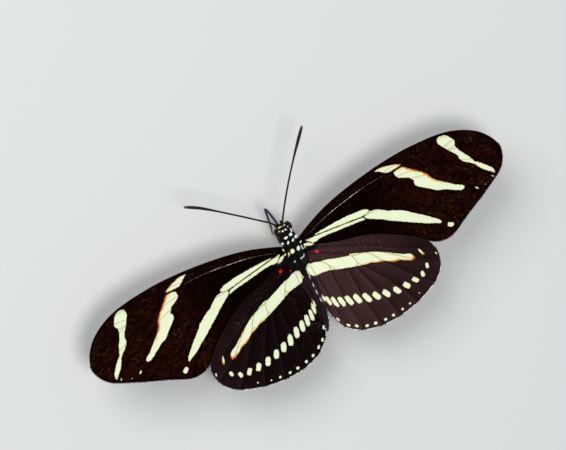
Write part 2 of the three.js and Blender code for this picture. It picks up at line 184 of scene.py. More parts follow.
def ring_triangles(rings, columns):
    """Triangles of rings of points in a row, closed by one more point at the start and one at the end."""
    row, column = np.meshgrid(np.arange(rings - 1), np.arange(columns), indexing="ij")
    a = (row * columns + column).ravel()
    b = (row * columns + (column + 1) % columns).ravel()
    c, d = a + columns, b + columns
    here = np.arange(columns)
    after = (here + 1) % columns
    last_ring, count = (rings - 1) * columns, rings * columns
    start = np.stack([after, here, np.full(columns, count)], 1)
    end = np.stack([here + last_ring, after + last_ring, np.full(columns, count + 1)], 1)
    return np.concatenate([np.stack([a, b, d], 1), np.stack([a, d, c], 1), start, end])


def tube(line, radii, sides=12):
    """A closed round skin along a line, with each point's place along it from 0 to 1."""
    tangents = unit(np.gradient(line, axis=0))
    across = np.cross(tangents[0], [0.3, 0.1, 1.0])
    angles = np.linspace(0, 2 * math.pi, sides, endpoint=False)
    rings = []
    for place, tangent, radius in zip(line, tangents, radii):
        across = across - tangent * (across @ tangent)
        across /= np.linalg.norm(across)
        other = np.cross(tangent, across)
        rings.append(place + radius * (np.outer(np.cos(angles), across) + np.outer(np.sin(angles), other)))
    along = np.r_[np.repeat(np.linspace(0, 1, len(line)), sides), 0, 1]
    return np.vstack([*rings, line[:1], line[-1:]]), ring_triangles(len(line), sides), along


def joined(parts):
    """One set of points, triangles and numbers per point from several."""
    starts = np.cumsum([0] + [len(points) for points, _, _ in parts])
    points = np.vstack([points for points, _, _ in parts])
    triangles = np.vstack([tris + start for (_, tris, _), start in zip(parts, starts)])
    return points, triangles, np.concatenate([numbers for _, _, numbers in parts])


# Hair and scales

TUFT_PATCH = 0.003  # width of one tuft on the baking map
ROOT_DEPTH = 0.04  # how far a tuft's root is sunk in the skin
TUFT_FLATNESS = 0.45
ONE_TUFT = [
    [0, 2, 1], [0, 1, 4], [0, 4, 3], [1, 2, 5], [1, 5, 4], [2, 0, 3], [2, 3, 5],
    [3, 4, 6], [4, 5, 6], [5, 3, 6],
]
TUFT_POINTS = 7
UPWARD = [0.0, 0.0, 1.0]


def blades(roots, normals, lies, lengths, widths, lift, bend):
    """Thin three-sided spikes that lie along the skin, as points and triangles."""
    lies = unit(lies - normals * (lies * normals).sum(1)[:, None])
    sides = np.cross(normals, lies)
    rise, tip_rise = np.sin(lift)[:, None], np.sin(lift - bend)[:, None]
    level, tip_level = np.cos(lift)[:, None], np.cos(lift - bend)[:, None]
    reach = lengths[:, None]
    base = roots - normals * ROOT_DEPTH
    middle = roots + (lies * level + normals * rise) * reach * 0.5
    tip = middle + (lies * tip_level + normals * tip_rise) * reach * 0.5
    wide = widths[:, None] * 0.5
    thick = wide * TUFT_FLATNESS * 2
    corners = []
    for place, size in ((base, 0.7), (middle, 1.0)):
        aside = sides * wide * size
        corners += [place - aside, place + aside, place + normals * thick * size]
    points = np.stack([*corners, tip], axis=1).reshape(-1, 3)
    starts = TUFT_POINTS * np.arange(len(roots))[:, None, None]
    return points, (np.array(ONE_TUFT)[None] + starts).reshape(-1, 3)


def make_tufts(name, tufts, look, slot, places, pale, warm):
    """Hair or scales as one mesh, each tuft with its numbers and a small patch of the baking map."""
    points, triangles = tufts
    numbers = {"pale": np.repeat(pale, TUFT_POINTS), "warm": np.repeat(warm, TUFT_POINTS)}
    piece = make_piece(name, points, triangles, [look], slot, **numbers)
    ring = np.linspace(0, 2 * math.pi, TUFT_POINTS, endpoint=False)
    spread = 0.5 * TUFT_PATCH * np.stack([np.cos(ring), np.sin(ring)], 1)
    set_map(piece, (places[:, None] + spread[None]).reshape(-1, 2)[triangles.ravel()])


# Materials


class Look:
    """A material whose patterns are built node by node, with sizes in millimetres."""

    def __init__(self, name, **sockets):
        self.material = bpy.data.materials.new(name)
        self.material.use_nodes = True
        self.nodes = self.material.node_tree.nodes
        self.links = self.material.node_tree.links
        self.shader = self.nodes["Principled BSDF"]
        for key, value in sockets.items():
            self.shader.inputs[key.replace("_", " ").title().replace("Ior", "IOR")].default_value = value
        place = self.node("ShaderNodeTexCoord", output="Object")
        self.place = self.node("ShaderNodeVectorMath", place, operation="SCALE")
        self.place.node.inputs["Scale"].default_value = 1 / MM

    def node(self, kind, *values, output=0, **settings):
        made = self.nodes.new(kind)
        for key, value in settings.items():
            setattr(made, key, value)
        for socket, value in zip(made.inputs, values):
            self.put(socket, value)
        return made.outputs[output]

    def put(self, socket, value):
        if value is None:
            return
        if isinstance(value, bpy.types.NodeSocket):
            self.links.new(value, socket)
        else:
            socket.default_value = value

    def attribute(self, name, output="Fac"):
        return self.node("ShaderNodeAttribute", attribute_name=name, output=output)

    def math(self, operation, a, b=None):
        return self.node("ShaderNodeMath", a, b, operation=operation)

    def add(self, a, b):
        return self.math("ADD", a, b)

    def times(self, a, b):
        return self.math("MULTIPLY", a, b)

    def less(self, a, b):
        return self.math("SUBTRACT", a, b)

    def sway(self, pattern, amount):
        """A pattern from 0 to 1 as a number that goes up and down about zero."""
        return self.times(self.less(pattern, 0.5), amount)

    def step(self, value, low, high):
        """0 below low, 1 above high and smooth between; downhill when low is above high."""
        if low > high:
            return self.less(1.0, self.step(value, high, low))
        return self.node("ShaderNodeMapRange", value, low, high, 0.0, 1.0, interpolation_type="SMOOTHSTEP")

    def noise(self, per_mm, detail=2.0, roughness=0.5, place=None):
        return self.node("ShaderNodeTexNoise", place or self.place, None, per_mm, detail, roughness)

    def cells(self, per_mm, output="Color"):
        return self.node("ShaderNodeTexVoronoi", self.place, None, per_mm, output=output)

    def mix(self, share, a, b):
        made = self.nodes.new("ShaderNodeMix")
        made.data_type = "RGBA"
        self.put(made.inputs["Factor"], share)
        for socket, value in ((made.inputs[6], a), (made.inputs[7], b)):
            self.put(socket, (*value, 1.0) if isinstance(value, tuple) else value)
        return made.outputs[2]

    def stretched(self, name, scale):
        """An attribute's vector, scaled along each of its directions."""
        vector = self.attribute(name, "Vector")
        return self.node("ShaderNodeVectorMath", vector, scale, operation="MULTIPLY")

    def bump(self, height, depth_mm, strength):
        made = self.nodes.new("ShaderNodeBump")
        made.inputs["Strength"].default_value = strength
        made.inputs["Distance"].default_value = depth_mm * MM
        self.put(made.inputs["Height"], height)
        self.put(self.shader.inputs["Normal"], made.outputs["Normal"])

    def finish(self, colour):
        self.put(self.shader.inputs["Base Color"], colour)
        return self.material


CREAM = (0.80, 0.88, 0.62)
BUTTER = (0.76, 0.74, 0.33)
WORN_CREAM = (0.60, 0.66, 0.46)
AMBER = (0.84, 0.40, 0.06)
RUST = (0.42, 0.12, 0.02)
CRIMSON = (0.80, 0.008, 0.010)
# painted highlight: the colour of the dotted pale line that stands for light caught along a raised vein
GLINT_PALE = (0.62, 0.60, 0.55)
VEIN_BROWN = (0.30, 0.16, 0.035)

# Tones of dark scales, brown scales, worn scales and pale scales
FOREWING_TONES = ((0.0014, 0.0003, 0.0003), (0.0230, 0.0050, 0.0022), (0.060, 0.022, 0.013), CREAM)
HINDWING_TONES = ((0.0008, 0.0003, 0.0003), (0.0070, 0.0022, 0.0018), (0.050, 0.028, 0.030), CREAM)
UNDER_TONES = ((0.012, 0.006, 0.005), (0.045, 0.026, 0.020), (0.14, 0.09, 0.06), (0.74, 0.76, 0.58))


SCALES_PER_MM = 8.5
MARK_EDGE = (-0.03, 0.03)  # depths between which a pale mark goes over into the dark


def wing_look(
    name, tones, roughness, gloss, gloss_tint, relief, vein_dark, vein_share, crossing, stain_share
):
    """Scaled membrane. Its pale marks end a little raggedly, and some are stained on their outer side."""
    dark, brown, worn, cream = tones
    look = Look(name, roughness=roughness, specular_ior_level=gloss, specular_tint=(*gloss_tint, 1.0))
    scale = look.cells(SCALES_PER_MM)
    patches = look.noise(1.9, 3.0, 0.65)
    ragged = look.add(look.sway(patches, 0.30), look.sway(scale, 0.08))
    depth = look.add(look.attribute("pale"), ragged)
    vein, shaded = look.attribute("vein"), look.attribute("shade")
    streaks = look.noise(1.0, 3.0, 0.6, look.stretched("fan", (24.0, 0.35, 1.0)))
    mottle = look.noise(1.5, 4.0, 0.72)
    tone = look.add(look.times(streaks, 0.45), look.times(mottle, 0.85))
    by_rim = look.step(look.attribute("rim"), 0.6, 0.15)
    border = look.math("MAXIMUM", look.step(depth, -0.42, -0.10), by_rim)
    beside_vein = look.times(look.step(vein, 0.38, 0.14), vein_dark)
    thin = look.times(look.step(look.cells(3.4), 0.76, 0.82), look.step(look.noise(0.35), 0.46, 0.58))
    # beads and line make the dotted painted highlight along one vein, as strong as the glint attribute says
    beads = look.add(look.times(look.step(look.noise(4.2, 1.0), 0.46, 0.56), 0.9), 0.1)
    line = look.times(look.step(look.attribute("line"), 0.09, 0.03), look.attribute("glint"))
    ground = dark
    for mask, share, colour in (
        (shaded, look.step(tone, 0.50, 0.86), brown),
        (look.math("MAXIMUM", border, beside_vein), 0.8, dark),
        (look.times(thin, shaded), 0.5, worn),
        (look.step(vein, 0.10, 0.03), vein_share, worn),
        (line, beads, GLINT_PALE),
    ):
        ground = look.mix(look.times(mask, share), ground, colour)
    trail = look.add(look.attribute("trail"), look.sway(look.noise(1.3), 0.7))
    stain = look.times(look.attribute("stain"), stain_share)
    light = cream
    for mask, share, colour in (
        (look.step(depth, 0.17, 0.02), 0.45, BUTTER),
        (look.step(mottle, 0.54, 0.68), 0.35, BUTTER),
        (look.step(scale, 0.55, 0.95), 0.30, BUTTER),
        (look.step(streaks, 0.52, 0.70), 0.30, WORN_CREAM),
        (look.step(vein, 0.13, 0.05), crossing, VEIN_BROWN),
        (look.step(trail, 0.20, -0.05), stain, AMBER),
        (look.step(trail, -0.02, -0.22), stain, RUST),
    ):
        light = look.mix(look.times(mask, share), light, colour)
    colour = look.mix(look.step(depth, *MARK_EDGE), ground, light)
    red = look.add(look.attribute("red"), look.sway(patches, 0.2))
    colour = look.mix(look.step(red, -0.02, 0.06), colour, CRIMSON)
    flakes = look.add(look.times(look.cells(9.0, output="Distance"), 0.5), look.times(streaks, 0.8))
    look.bump(flakes, 0.02, relief)
    return look.finish(colour)


forewing_top = wing_look(
    "forewing_top", FOREWING_TONES, roughness=0.48, gloss=0.008, gloss_tint=(1.0, 0.3, 0.2), relief=0.5,
    vein_dark=0.8, vein_share=0.06, crossing=0.45, stain_share=1.0,
)
hindwing_top = wing_look(
    "hindwing_top", HINDWING_TONES, roughness=0.27, gloss=0.065, gloss_tint=(1.0, 0.46, 0.50), relief=0.12,
    vein_dark=0.0, vein_share=0.04, crossing=0.6, stain_share=1.0,
)
wing_under = wing_look(
    "wing_under", UNDER_TONES, roughness=0.48, gloss=0.15, gloss_tint=(1.0, 0.9, 0.85), relief=0.5,
    vein_dark=0.0, vein_share=0.5, crossing=0.6, stain_share=0.3,
)


SPOT_WHITE, SPOT_YELLOW = (0.93, 0.97, 0.94), (0.90, 0.86, 0.24)
ABDOMEN_BROWN = (0.028, 0.015, 0.019)
ABDOMEN_REACH = (2.2 + TO_FLOOR[1], 4.2 + TO_FLOOR[1])  # along y, where the scales turn from black to brown


def coat_look(name, dark, roughness, gloss):
    """Scales and hair of the body: dark, with pale spots and lines that turn from white to yellow."""
    look = Look(name, roughness=roughness, specular_ior_level=gloss, sheen_weight=0.02, sheen_roughness=0.4)
    depth = look.add(look.attribute("pale"), look.sway(look.noise(3.0), 0.10))
    light = look.mix(look.attribute("warm"), SPOT_WHITE, SPOT_YELLOW)
    shade = look.mix(look.noise(1.2, 3.0), dark, tuple(2.4 * c for c in dark))
    behind = look.node("ShaderNodeSeparateXYZ", look.place, output=1)
    shade = look.mix(look.step(behind, *ABDOMEN_REACH), shade, ABDOMEN_BROWN)
    look.bump(look.cells(7.0, output="Distance"), 0.03, 0.5)
    return look.finish(look.mix(look.step(depth, -0.03, 0.04), shade, light))


skin_look = coat_look("skin", (0.0030, 0.0022, 0.0028), 0.55, 0.05)
hair_look = coat_look("body_hair", (0.0030, 0.0021, 0.0028), 0.45, 0.08)
margin_look = coat_look("hindwing_hair", (0.0060, 0.0028, 0.0032), 0.45, 0.08)


def horn_look(name, dark, tip, tip_start, tip_end, rings, roughness):
    """Horny stick with fine rings, whose colour changes toward its tip."""
    look = Look(name, roughness=roughness, specular_ior_level=0.3)
    along = look.attribute("along")
    wave = look.math("SINE", look.times(along, rings * 2 * math.pi))
    shade = look.mix(look.step(wave, 0.3, 1.0), dark, tuple(2.2 * c for c in dark))
    speckled = look.add(along, look.sway(look.noise(2.0, 3.0), 0.05))
    look.bump(look.add(look.times(wave, 0.5), look.noise(9.0)), 0.02, 0.6)
    return look.finish(look.mix(look.step(speckled, tip_start, tip_end), shade, tip))


ANTENNA_RINGS, TONGUE_RINGS, LEG_RINGS = 44, 60, 3
feeler_look = horn_look(
    "feeler", (0.0030, 0.0018, 0.0016), (0.26, 0.07, 0.02), 0.95, 1.0, ANTENNA_RINGS, roughness=0.55
)
tongue_look = horn_look(
    "feeding_tube", (0.016, 0.016, 0.044), (0.62, 0.26, 0.02), 0.50, 1.05, TONGUE_RINGS, roughness=0.35
)
leg_look = horn_look(
    "leg", (0.010, 0.007, 0.006), (0.04, 0.022, 0.014), 0.9, 0.96, LEG_RINGS, roughness=0.48
)

# Wings: [x, y] points of the left pair

MEMBRANE = 0.11  # thickness
CURVE_STEP = 0.2  # spacing of the points along outlines and veins
WING_GRID = 0.28  # spacing of the membrane's points
FINE_REACH = 0.2  # distance from a mark's edge within which that spacing is halved
ROW_STEP = 0.866  # of the rows of points, as a share of the spacing along them
VEIN_FLANK = 0.1  # half width of a vein's ridge
RIM_GAP, VEIN_GAP = 0.13, 0.07  # how far the rows of points keep from the rim and from a ridge
VEIN_STOP = 0.14  # distance from the rim at which a vein ends
ROOT_RISE, DIHEDRAL, DROOP, HIND_DROP = 1.35, math.tan(math.radians(5)), 0.0009, 1.2
FOREWING_ROOT, HINDWING_ROOT = np.array([0.0, -2.5]), np.array([1.5, 0.0])

FOREWING_OUTLINE = [
    [1.2, -3.5], [4.4, -5.3], [10.2, -7.3], [20, -9.0], [29, -9.4], [37.2, -8.3], [42.4, -5.3],
    [44.5, -1.4], [43.1, 2.1], [38.5, 4.8], [33, 7.3], [28, 9.5], [25.2, 9.1], [20.5, 5.4], [14.2, 1.7],
    [8.6, 0.1], [4.6, -1.2], [1.2, -1.6],
]
HINDWING_OUTLINE = [
    [1.2, -1.4], [5, -2.6], [12, -2.4], [19, 2.2], [23.9, 8.2], [24.6, 11.2], [23.3, 14.5], [19.6, 16.8],
    [14.2, 18.3], [9, 18.5], [4.8, 17.4], [2.1, 15.2], [1.0, 12.4], [0.5, 9.0], [0.5, 5.0], [0.75, 2.4],
    [1.0, 1.0],
]
FOREWING_VEINS = [
    [[1.6, -3.2], [4.5, -4.75], [10.2, -6.7], [20, -8.4], [29, -8.8], [36.8, -7.8]],
    [[2.8, -3.5], [4.2, -3.9], [6.15, -4.6], [8.0, -5.13], [10.1, -5.62], [12.6, -6.05], [15.0, -6.45],
     [18.1, -6.8], [21.6, -6.9], [29.1, -6.3], [34.4, -5.5]],
    [[17, -6.7], [24, -7.7], [30.5, -8.5]],
    [[22, -6.9], [29, -7.4], [34.5, -8.1]],
    [[32, -5.9], [36.5, -6.6], [39.3, -6.9]],
    [[34.4, -5.5], [39, -5.2], [42.2, -4.4]],
    [[34.4, -5.5], [39, -4.2], [43.3, -2.6]],
    [[23.2, -5.6], [27, -5.2], [34, -3.4], [43.4, 0.4]],
    [[23.9, -4.3], [26.8, -3.8], [29.4, -3.0], [34, -0.8], [41.3, 2.4]],
    [[23.3, -2.9], [26.6, -1.75], [30.0, 0.75], [34.4, 3.1], [37.6, 4.9]],
    [[2.0, -2.75], [4.7, -2.98], [7.2, -2.72], [9.6, -2.45], [12.3, -2.12], [14.7, -1.82], [17, -1.8],
     [19, -1.9], [23.3, -2.9]],
    [[20.5, -1.9], [24, 0.3], [27.7, 3.6], [31.3, 7.6]],
    [[14.9, -1.35], [17.9, 0.75], [21.9, 3.45], [25.2, 5.7], [27.4, 8.6]],
    [[2, -2.2], [8, -1.3], [14, 0.4], [20, 3.9], [24, 7.6]],
    [[23, -6.7], [23.8, -4.3], [23.3, -2.9]],
]
HINDWING_VEINS = [
    [[1.8, -1.0], [3, -0.9], [5.8, 0.1], [8.8, 1.5], [12.7, 3.5], [16.7, 6.1], [21.5, 8.6]],
    [[1.8, -0.4], [5.5, 1.2], [9.4, 3.8], [13, 4.7], [17.2, 7.9], [20.5, 10.6], [24.0, 12.5]],
    [[9.4, 3.9], [12.4, 4.8], [14.4, 7.6], [19.3, 13.9], [21.3, 15.7]],
    [[9.8, 5.6], [12.5, 9.6], [15.2, 14.1], [16.6, 17.3]],
    [[9.2, 6.2], [10.2, 9.5], [11.3, 13.2], [12.5, 18]],
    [[7.6, 6.0], [7.7, 9], [7.65, 12.1], [8.6, 18.1]],
    [[1.9, 0.8], [4.1, 2.4], [6.0, 5.2], [7.6, 6.0], [9.2, 6.2], [9.8, 5.6], [9.5, 3.9]],
    [[4.8, 3.4], [4.5, 7], [4.55, 10.9], [5.0, 17.2]],
    [[1.6, 1.5], [1.9, 6], [2.1, 9.8], [2.3, 14.8]],
]

# Pale marks of the forewing, each with the strength of the stain on its outer side
FOREWING_BANDS = {
    "near the tip": (0.0, [
        [34.0, -8.25], [34.7, -8.4], [35.8, -8.15], [36.3, -7.6], [36.75, -6.9], [37.0, -6.4],
        [36.85, -5.9], [36.6, -5.6], [36.7, -5.0], [37.2, -3.9], [37.9, -2.75], [38.5, -1.6],
        [38.65, -1.05], [39.6, -0.2], [40.4, 0.65], [41.15, 1.55], [41.4, 2.2], [41.3, 2.8], [40.7, 2.3],
        [40.0, 1.6], [39.3, 0.8], [38.6, -0.45], [38.0, -1.05], [37.2, -1.65], [36.55, -2.3], [36.3, -2.9],
        [36.3, -3.5], [35.85, -4.35], [35.2, -5.15], [34.7, -5.9], [34.25, -6.6], [33.95, -7.1],
        [33.9, -7.6],
    ]),
    "front of the middle": (0.5, [
        [20.5, -8.4], [21.4, -8.55], [22.5, -8.4], [23.7, -8.05], [24.8, -7.7], [25.6, -7.2], [24.9, -7.05],
        [23.6, -6.95], [22.7, -7.0], [22.1, -7.3], [21.5, -7.85],
    ]),
    "middle": (1.0, [
        [23.7, -6.4], [24.3, -6.65], [25.7, -6.75], [26.3, -6.2], [27.2, -5.4], [28.05, -4.6], [28.9, -3.8],
        [29.45, -3.1], [29.8, -2.2], [30.4, -1.4], [31.3, -0.6], [32.3, 0.3], [33.4, 1.25], [34.4, 1.85],
        [34.75, 2.25], [34.5, 2.65], [33.9, 2.6], [33.1, 2.25], [32.0, 1.55], [30.8, 0.85], [30.0, 0.6],
        [29.4, 0.35], [28.6, -0.45], [27.6, -1.25], [26.8, -1.85], [26.35, -2.4], [26.3, -2.95],
        [26.6, -3.3], [26.2, -3.85], [25.9, -4.3], [25.0, -4.7], [24.2, -5.1], [23.75, -5.5], [23.75, -6.0],
    ]),
    "long, outer part": (0.2, [
        [14.8, -1.75], [16.2, -2.1], [17.4, -1.95], [17.95, -1.6], [18.7, -1.1], [19.4, -0.5],
        [20.4, -0.15], [21.5, 0.5], [22.5, 1.1], [23.3, 1.9], [24.5, 2.9], [25.6, 3.8], [26.5, 4.7],
        [27.3, 5.4], [27.75, 6.1], [27.6, 6.4], [26.6, 5.9], [25.3, 5.3], [23.9, 4.4], [22.2, 3.4],
        [20.4, 2.2], [19.3, 1.55], [17.9, 0.5], [16.2, -0.5], [15.2, -1.05],
    ]),
    "long, front of the vein": (0.1, [
        [4.5, -3.2], [6.6, -3.35], [9.2, -3.4], [11.8, -3.38], [13.7, -3.2], [15.2, -3.0], [16.0, -2.7],
        [16.25, -2.35], [15.9, -2.1], [14.8, -1.96], [12.4, -2.22], [9.5, -2.58], [7.2, -2.84],
        [4.9, -3.06],
    ]),
    "long, behind the vein": (0.1, [
        [2.8, -3.08], [4.55, -2.9], [6.7, -2.65], [9.8, -2.32], [12.2, -2.03], [14.55, -1.7], [14.9, -1.05],
        [13.8, -1.3], [12.3, -1.45], [9.7, -1.72], [7.7, -1.97], [6.4, -2.05], [5.2, -2.08], [4.7, -1.89],
        [4.0, -1.95], [3.1, -2.7],
    ]),
    "long, at the root": (0.1, [
        [2.2, -2.6], [2.95, -2.45], [3.85, -1.93], [3.85, -1.72], [3.0, -1.8], [2.3, -2.15],
    ]),
}
# [x, y, half length, half width, angle]
FOREWING_DOTS = [
    [29.0, 7.5, 0.58, 0.42, 0.6], [36.75, 3.7, 0.30, 0.13, 0.7], [38.6, 3.9, 0.16, 0.07, 0.7],
    [40.5, 3.1, 0.20, 0.08, 0.9],
]
# Path of the painted highlight along the forewing's front vein
FOREWING_GLINT_PATH = [
    [2.8, -3.5], [4.2, -3.9], [6.15, -4.6], [8.0, -5.13], [10.1, -5.62], [12.6, -6.05], [15.0, -6.45],
    [18.1, -6.8], [21.6, -6.9],
]

# Pale marks of the hindwing
HINDWING_BAND = [
    [0.8, 1.6], [1.5, 1.35], [2.5, 1.6], [3.4, 2.0], [4.1, 2.05], [5.6, 2.55], [7.5, 3.2], [8.8, 3.6],
    [9.3, 3.5], [10.0, 3.7], [12.2, 4.6], [13.6, 5.25], [15.2, 6.15], [17.0, 7.4], [18.3, 8.25],
    [19.7, 8.9], [20.2, 9.7], [20.1, 10.2], [19.4, 10.2], [18.2, 9.6], [17.6, 9.1], [16.7, 8.95],
    [15.9, 8.65], [14.7, 7.8], [13.2, 7.3], [12.3, 6.85], [11.25, 6.68], [9.4, 6.1], [8.3, 5.75],
    [6.96, 5.27], [6.3, 5.05], [4.3, 4.25], [2.5, 4.05], [1.4, 3.95], [0.8, 3.3],
]
HINDWING_STREAK = [[21.35, 8.65], [21.8, 9.1], [22.15, 10.15], [21.85, 10.3], [21.5, 9.7]]
# [x, y, half length, half width] of the row of spots, from the wing's tip inward
HINDWING_SPOTS = [
    [21.55, 12.5, 0.50, 0.31], [20.05, 13.5, 0.55, 0.37], [18.3, 13.85, 0.68, 0.43],
    [16.3, 13.95, 0.75, 0.48], [14.2, 13.9, 0.87, 0.50], [12.13, 13.46, 0.89, 0.51],
    [10.23, 12.97, 0.93, 0.52], [8.46, 12.43, 1.04, 0.50], [6.74, 11.76, 1.05, 0.51],
    [5.16, 11.22, 1.07, 0.48], [3.8, 10.72, 1.08, 0.43], [2.6, 10.23, 1.08, 0.38], [1.62, 9.4, 1.06, 0.31],
    [1.05, 8.5, 0.66, 0.20],
]
SPOTS_ASLANT = 2  # how many of them, from the tip, lean the other way
SLANT = 1.8
# [x, y, half length, half width, angle] of the small dots along the hind margin and by the tip
HINDWING_DOTS = [
    [17.8, 16.45, 0.14, 0.12, 0.0], [15.3, 17.35, 0.19, 0.17, 0.0], [13.5, 17.65, 0.24, 0.22, 0.0],
    [11.4, 17.83, 0.28, 0.25, 0.0], [9.7, 17.83, 0.30, 0.26, 0.0], [7.65, 17.55, 0.30, 0.27, 0.3],
    [5.95, 17.2, 0.33, 0.25, 0.4], [4.2, 16.3, 0.36, 0.23, 0.8], [2.9, 15.4, 0.38, 0.21, 0.9],
    [1.6, 13.5, 0.42, 0.17, 1.3], [24.2, 11.2, 0.28, 0.12, 1.3],
]
# Path of the faint painted highlight on the hindwing
HINDWING_GLINT_PATH = [[3.3, -0.3], [6.4, 0.85], [9.4, 2.4], [14.6, 4.75], [18.8, 7.6]]
RED_SPOTS_TOP = [[4.0, 0.05, 0.38, 0.31], [2.2, 0.9, 0.17, 0.14]]
RED_SPOTS_UNDER = [
    [4.2, 0.3, 0.5, 0.32], [3.0, 1.3, 0.42, 0.28], [5.6, 2.6, 0.35, 0.28], [2.4, -1.2, 0.5, 0.25],
]
RED_SLANT = 0.6
STAIN_SHIFT = {"forewing": 0.36, "hindwing": 0.38}  # how far in from its outer side a mark may be stained
STREAK_STAIN = 0.6


def spot_ovals():
    """The hindwing's spots as ovals that point along its veins, apart from those nearest its tip."""
    ovals = []
    for number, (x, y, half_length, half_width) in enumerate(HINDWING_SPOTS):
        along = math.atan2(y, x - min(0.45 * x, 6.0))
        ovals.append([x, y, half_length, half_width, SLANT if number < SPOTS_ASLANT else along])
    return ovals


def forewing_stain(at, nearest):
    """The stain of the middle mark fades half way to the hind margin."""
    shares = np.array([share for share, _ in FOREWING_BANDS.values()] + [0.0] * len(FOREWING_DOTS))
    return shares[nearest] * step_between(at[:, 1], 1.0, -1.8)


def hindwing_stain(at, nearest):
    on_band = step_between(at[:, 0], 8, 16)
    return np.where(nearest == 0, on_band, np.where(nearest == 1, STREAK_STAIN, 0.0))


def forewing_shade(at, rim):
    """Share of brown among the black scales: little near the root, more at the front edge and the tip."""
    reach = np.linalg.norm(at - FOREWING_ROOT, axis=1)
    line = np.interp(at[:, 0], [0, 10, 20, 44], [-3.0, -5.7, -7.0, -7.5])
    return np.maximum(0.06 + 0.94 * step_between(reach, 15, 27), 0.6 * (at[:, 1] < line))


def hindwing_shade(at, rim):
    """Black beyond the band, purple-brown near the body, along the front and along the margin. Near the body
    this brown is partly the scales' own tone and partly painted sheen.
    """
    band = np.interp(at[:, 0], [0, 20, 25], [2.4, 9.5, 11])
    # partly painted sheen: the brown share rises toward the body, on top of the scales' own tone
    by_body = step_between(at[:, 0], 9, 3)
    front = step_between(band - at[:, 1], 0.5, 3.5)
    margin = step_between(rim, 2.2, 0.8)
    return np.clip(np.maximum(np.maximum(0.9 * by_body, front), 0.7 * margin), 0.03, 1.0)


# Strength of the painted highlight along the forewing's line, by distance from the root
def forewing_glint(reach):
    long_part = 0.16 * step_between(reach, 2.5, 6) * step_between(reach, 25, 19)
    return long_part + 0.75 * step_between(reach, 7.5, 11) * step_between(reach, 18, 15)


# Strength of the hindwing's fainter painted highlight, by distance from the root
def hindwing_glint(reach):
    return 0.05 * step_between(reach, 19, 15)


WINGS = {
    "forewing": {
        "outline": FOREWING_OUTLINE, "veins": FOREWING_VEINS, "root": FOREWING_ROOT, "line": FOREWING_GLINT_PATH,
        "rings": [np.array(ring) for _, ring in FOREWING_BANDS.values()], "ovals": FOREWING_DOTS,
        "stain": forewing_stain, "shade": forewing_shade, "glint": forewing_glint,
        "drop": 0.0, "folds": 0.06, "sag": 0.05, "ridges": 1.0, "looks": [forewing_top, wing_under],
        "red": ([], []),
    },
    "hindwing": {
        "outline": HINDWING_OUTLINE, "veins": HINDWING_VEINS, "root": HINDWING_ROOT, "line": HINDWING_GLINT_PATH,
        "rings": [np.array(HINDWING_BAND), np.array(HINDWING_STREAK)],
        "ovals": spot_ovals() + HINDWING_DOTS,
        "stain": hindwing_stain, "shade": hindwing_shade, "glint": hindwing_glint,
        "drop": HIND_DROP, "folds": 0.02, "sag": 0.015, "ridges": 0.25, "looks": [hindwing_top, wing_under],
        "red": (RED_SPOTS_TOP, RED_SPOTS_UNDER),
    },
}


def mark_depths(at, wing):
    """How far each point is inside each pale mark, one row for each mark."""
    found = [depth_in(at, ring) for ring in wing["rings"]]
    return np.array(found + [depth_in_oval(at, *oval) for oval in wing["ovals"]])


def red_depth(at, spots):
    return np.max([np.full(len(at), -9.0)] + [depth_in_oval(at, *spot, RED_SLANT) for spot in spots], axis=0)


def distance_to_veins(at, wing):
    return np.min([distance_to(at, smooth(line, CURVE_STEP)) for line in wing["veins"]], axis=0)


def vein_paths(wing, ring):
    """Points and edges along the middle and both flanks of each vein, clear of rim and earlier veins."""
    points, edges, done = [], [], []
    for corners in wing["veins"]:
        middle = smooth(corners, CURVE_STEP)
        tangent = unit(np.gradient(middle, axis=0))
        across = np.column_stack([-tangent[:, 1], tangent[:, 0]])
        for offset in (0.0, -VEIN_FLANK, VEIN_FLANK):
            path = middle + across * offset
            keep = depth_in(path, ring) > VEIN_STOP
            for other in done:
                keep &= distance_to(path, other) > VEIN_FLANK * 1.3
            start = len(points)
            points += list(path)
            edges += [(start + i, start + i + 1) for i in range(len(path) - 1) if keep[i] and keep[i + 1]]
        done.append(middle)
    used = sorted({end for edge in edges for end in edge})
    place = {old: new for new, old in enumerate(used)}
    return np.array(points)[used], [(place[a], place[b]) for a, b in edges]


def loose_points(wing, ring):
    """Even rows of points inside the outline and clear of the veins, finer where marks end."""
    low, high = ring.min(0), ring.max(0)
    fine = WING_GRID / 2
    count_x, count_y = ((high - low) / [fine, fine * ROW_STEP]).astype(int) + 1
    row, column = np.divmod(np.arange(count_y * count_x), count_x)
    loose = low + np.column_stack([(column + 0.5 * (row % 2)) * fine, row * fine * ROW_STEP])
    coarse = (row % 2 == 0) & ((column + row // 2) % 2 == 0)
    inside = depth_in(loose, ring) > RIM_GAP
    loose, coarse = loose[inside], coarse[inside]
    loose = loose[coarse | (np.abs(mark_depths(loose, wing)).min(0) < FINE_REACH)]
    return loose[distance_to_veins(loose, wing) > VEIN_FLANK + VEIN_GAP]


def membrane(wing):
    """Points and triangles of a flat wing, and its outline."""
    ring = smooth(wing["outline"], CURVE_STEP, closed=True)[:-1]
    vein_points, vein_edges = vein_paths(wing, ring)
    corners = np.vstack([ring, vein_points, loose_points(wing, ring)])
    edges = [(i, (i + 1) % len(ring)) for i in range(len(ring))]
    edges += [(a + len(ring), b + len(ring)) for a, b in vein_edges]
    points, _, faces, *_ = delaunay_2d_cdt([Vector(p) for p in corners], edges, [], 1, 1e-5)
    return np.array([tuple(p) for p in points]), np.array(faces), ring


def rim_edges(triangles):
    """The edges that belong to only one triangle, each in that triangle's direction."""
    edges = np.concatenate([triangles[:, [0, 1]], triangles[:, [1, 2]], triangles[:, [2, 0]]])
    keys = {tuple(edge) for edge in edges.tolist()}
    return np.array(sorted((a, b) for a, b in keys if (b, a) not in keys))


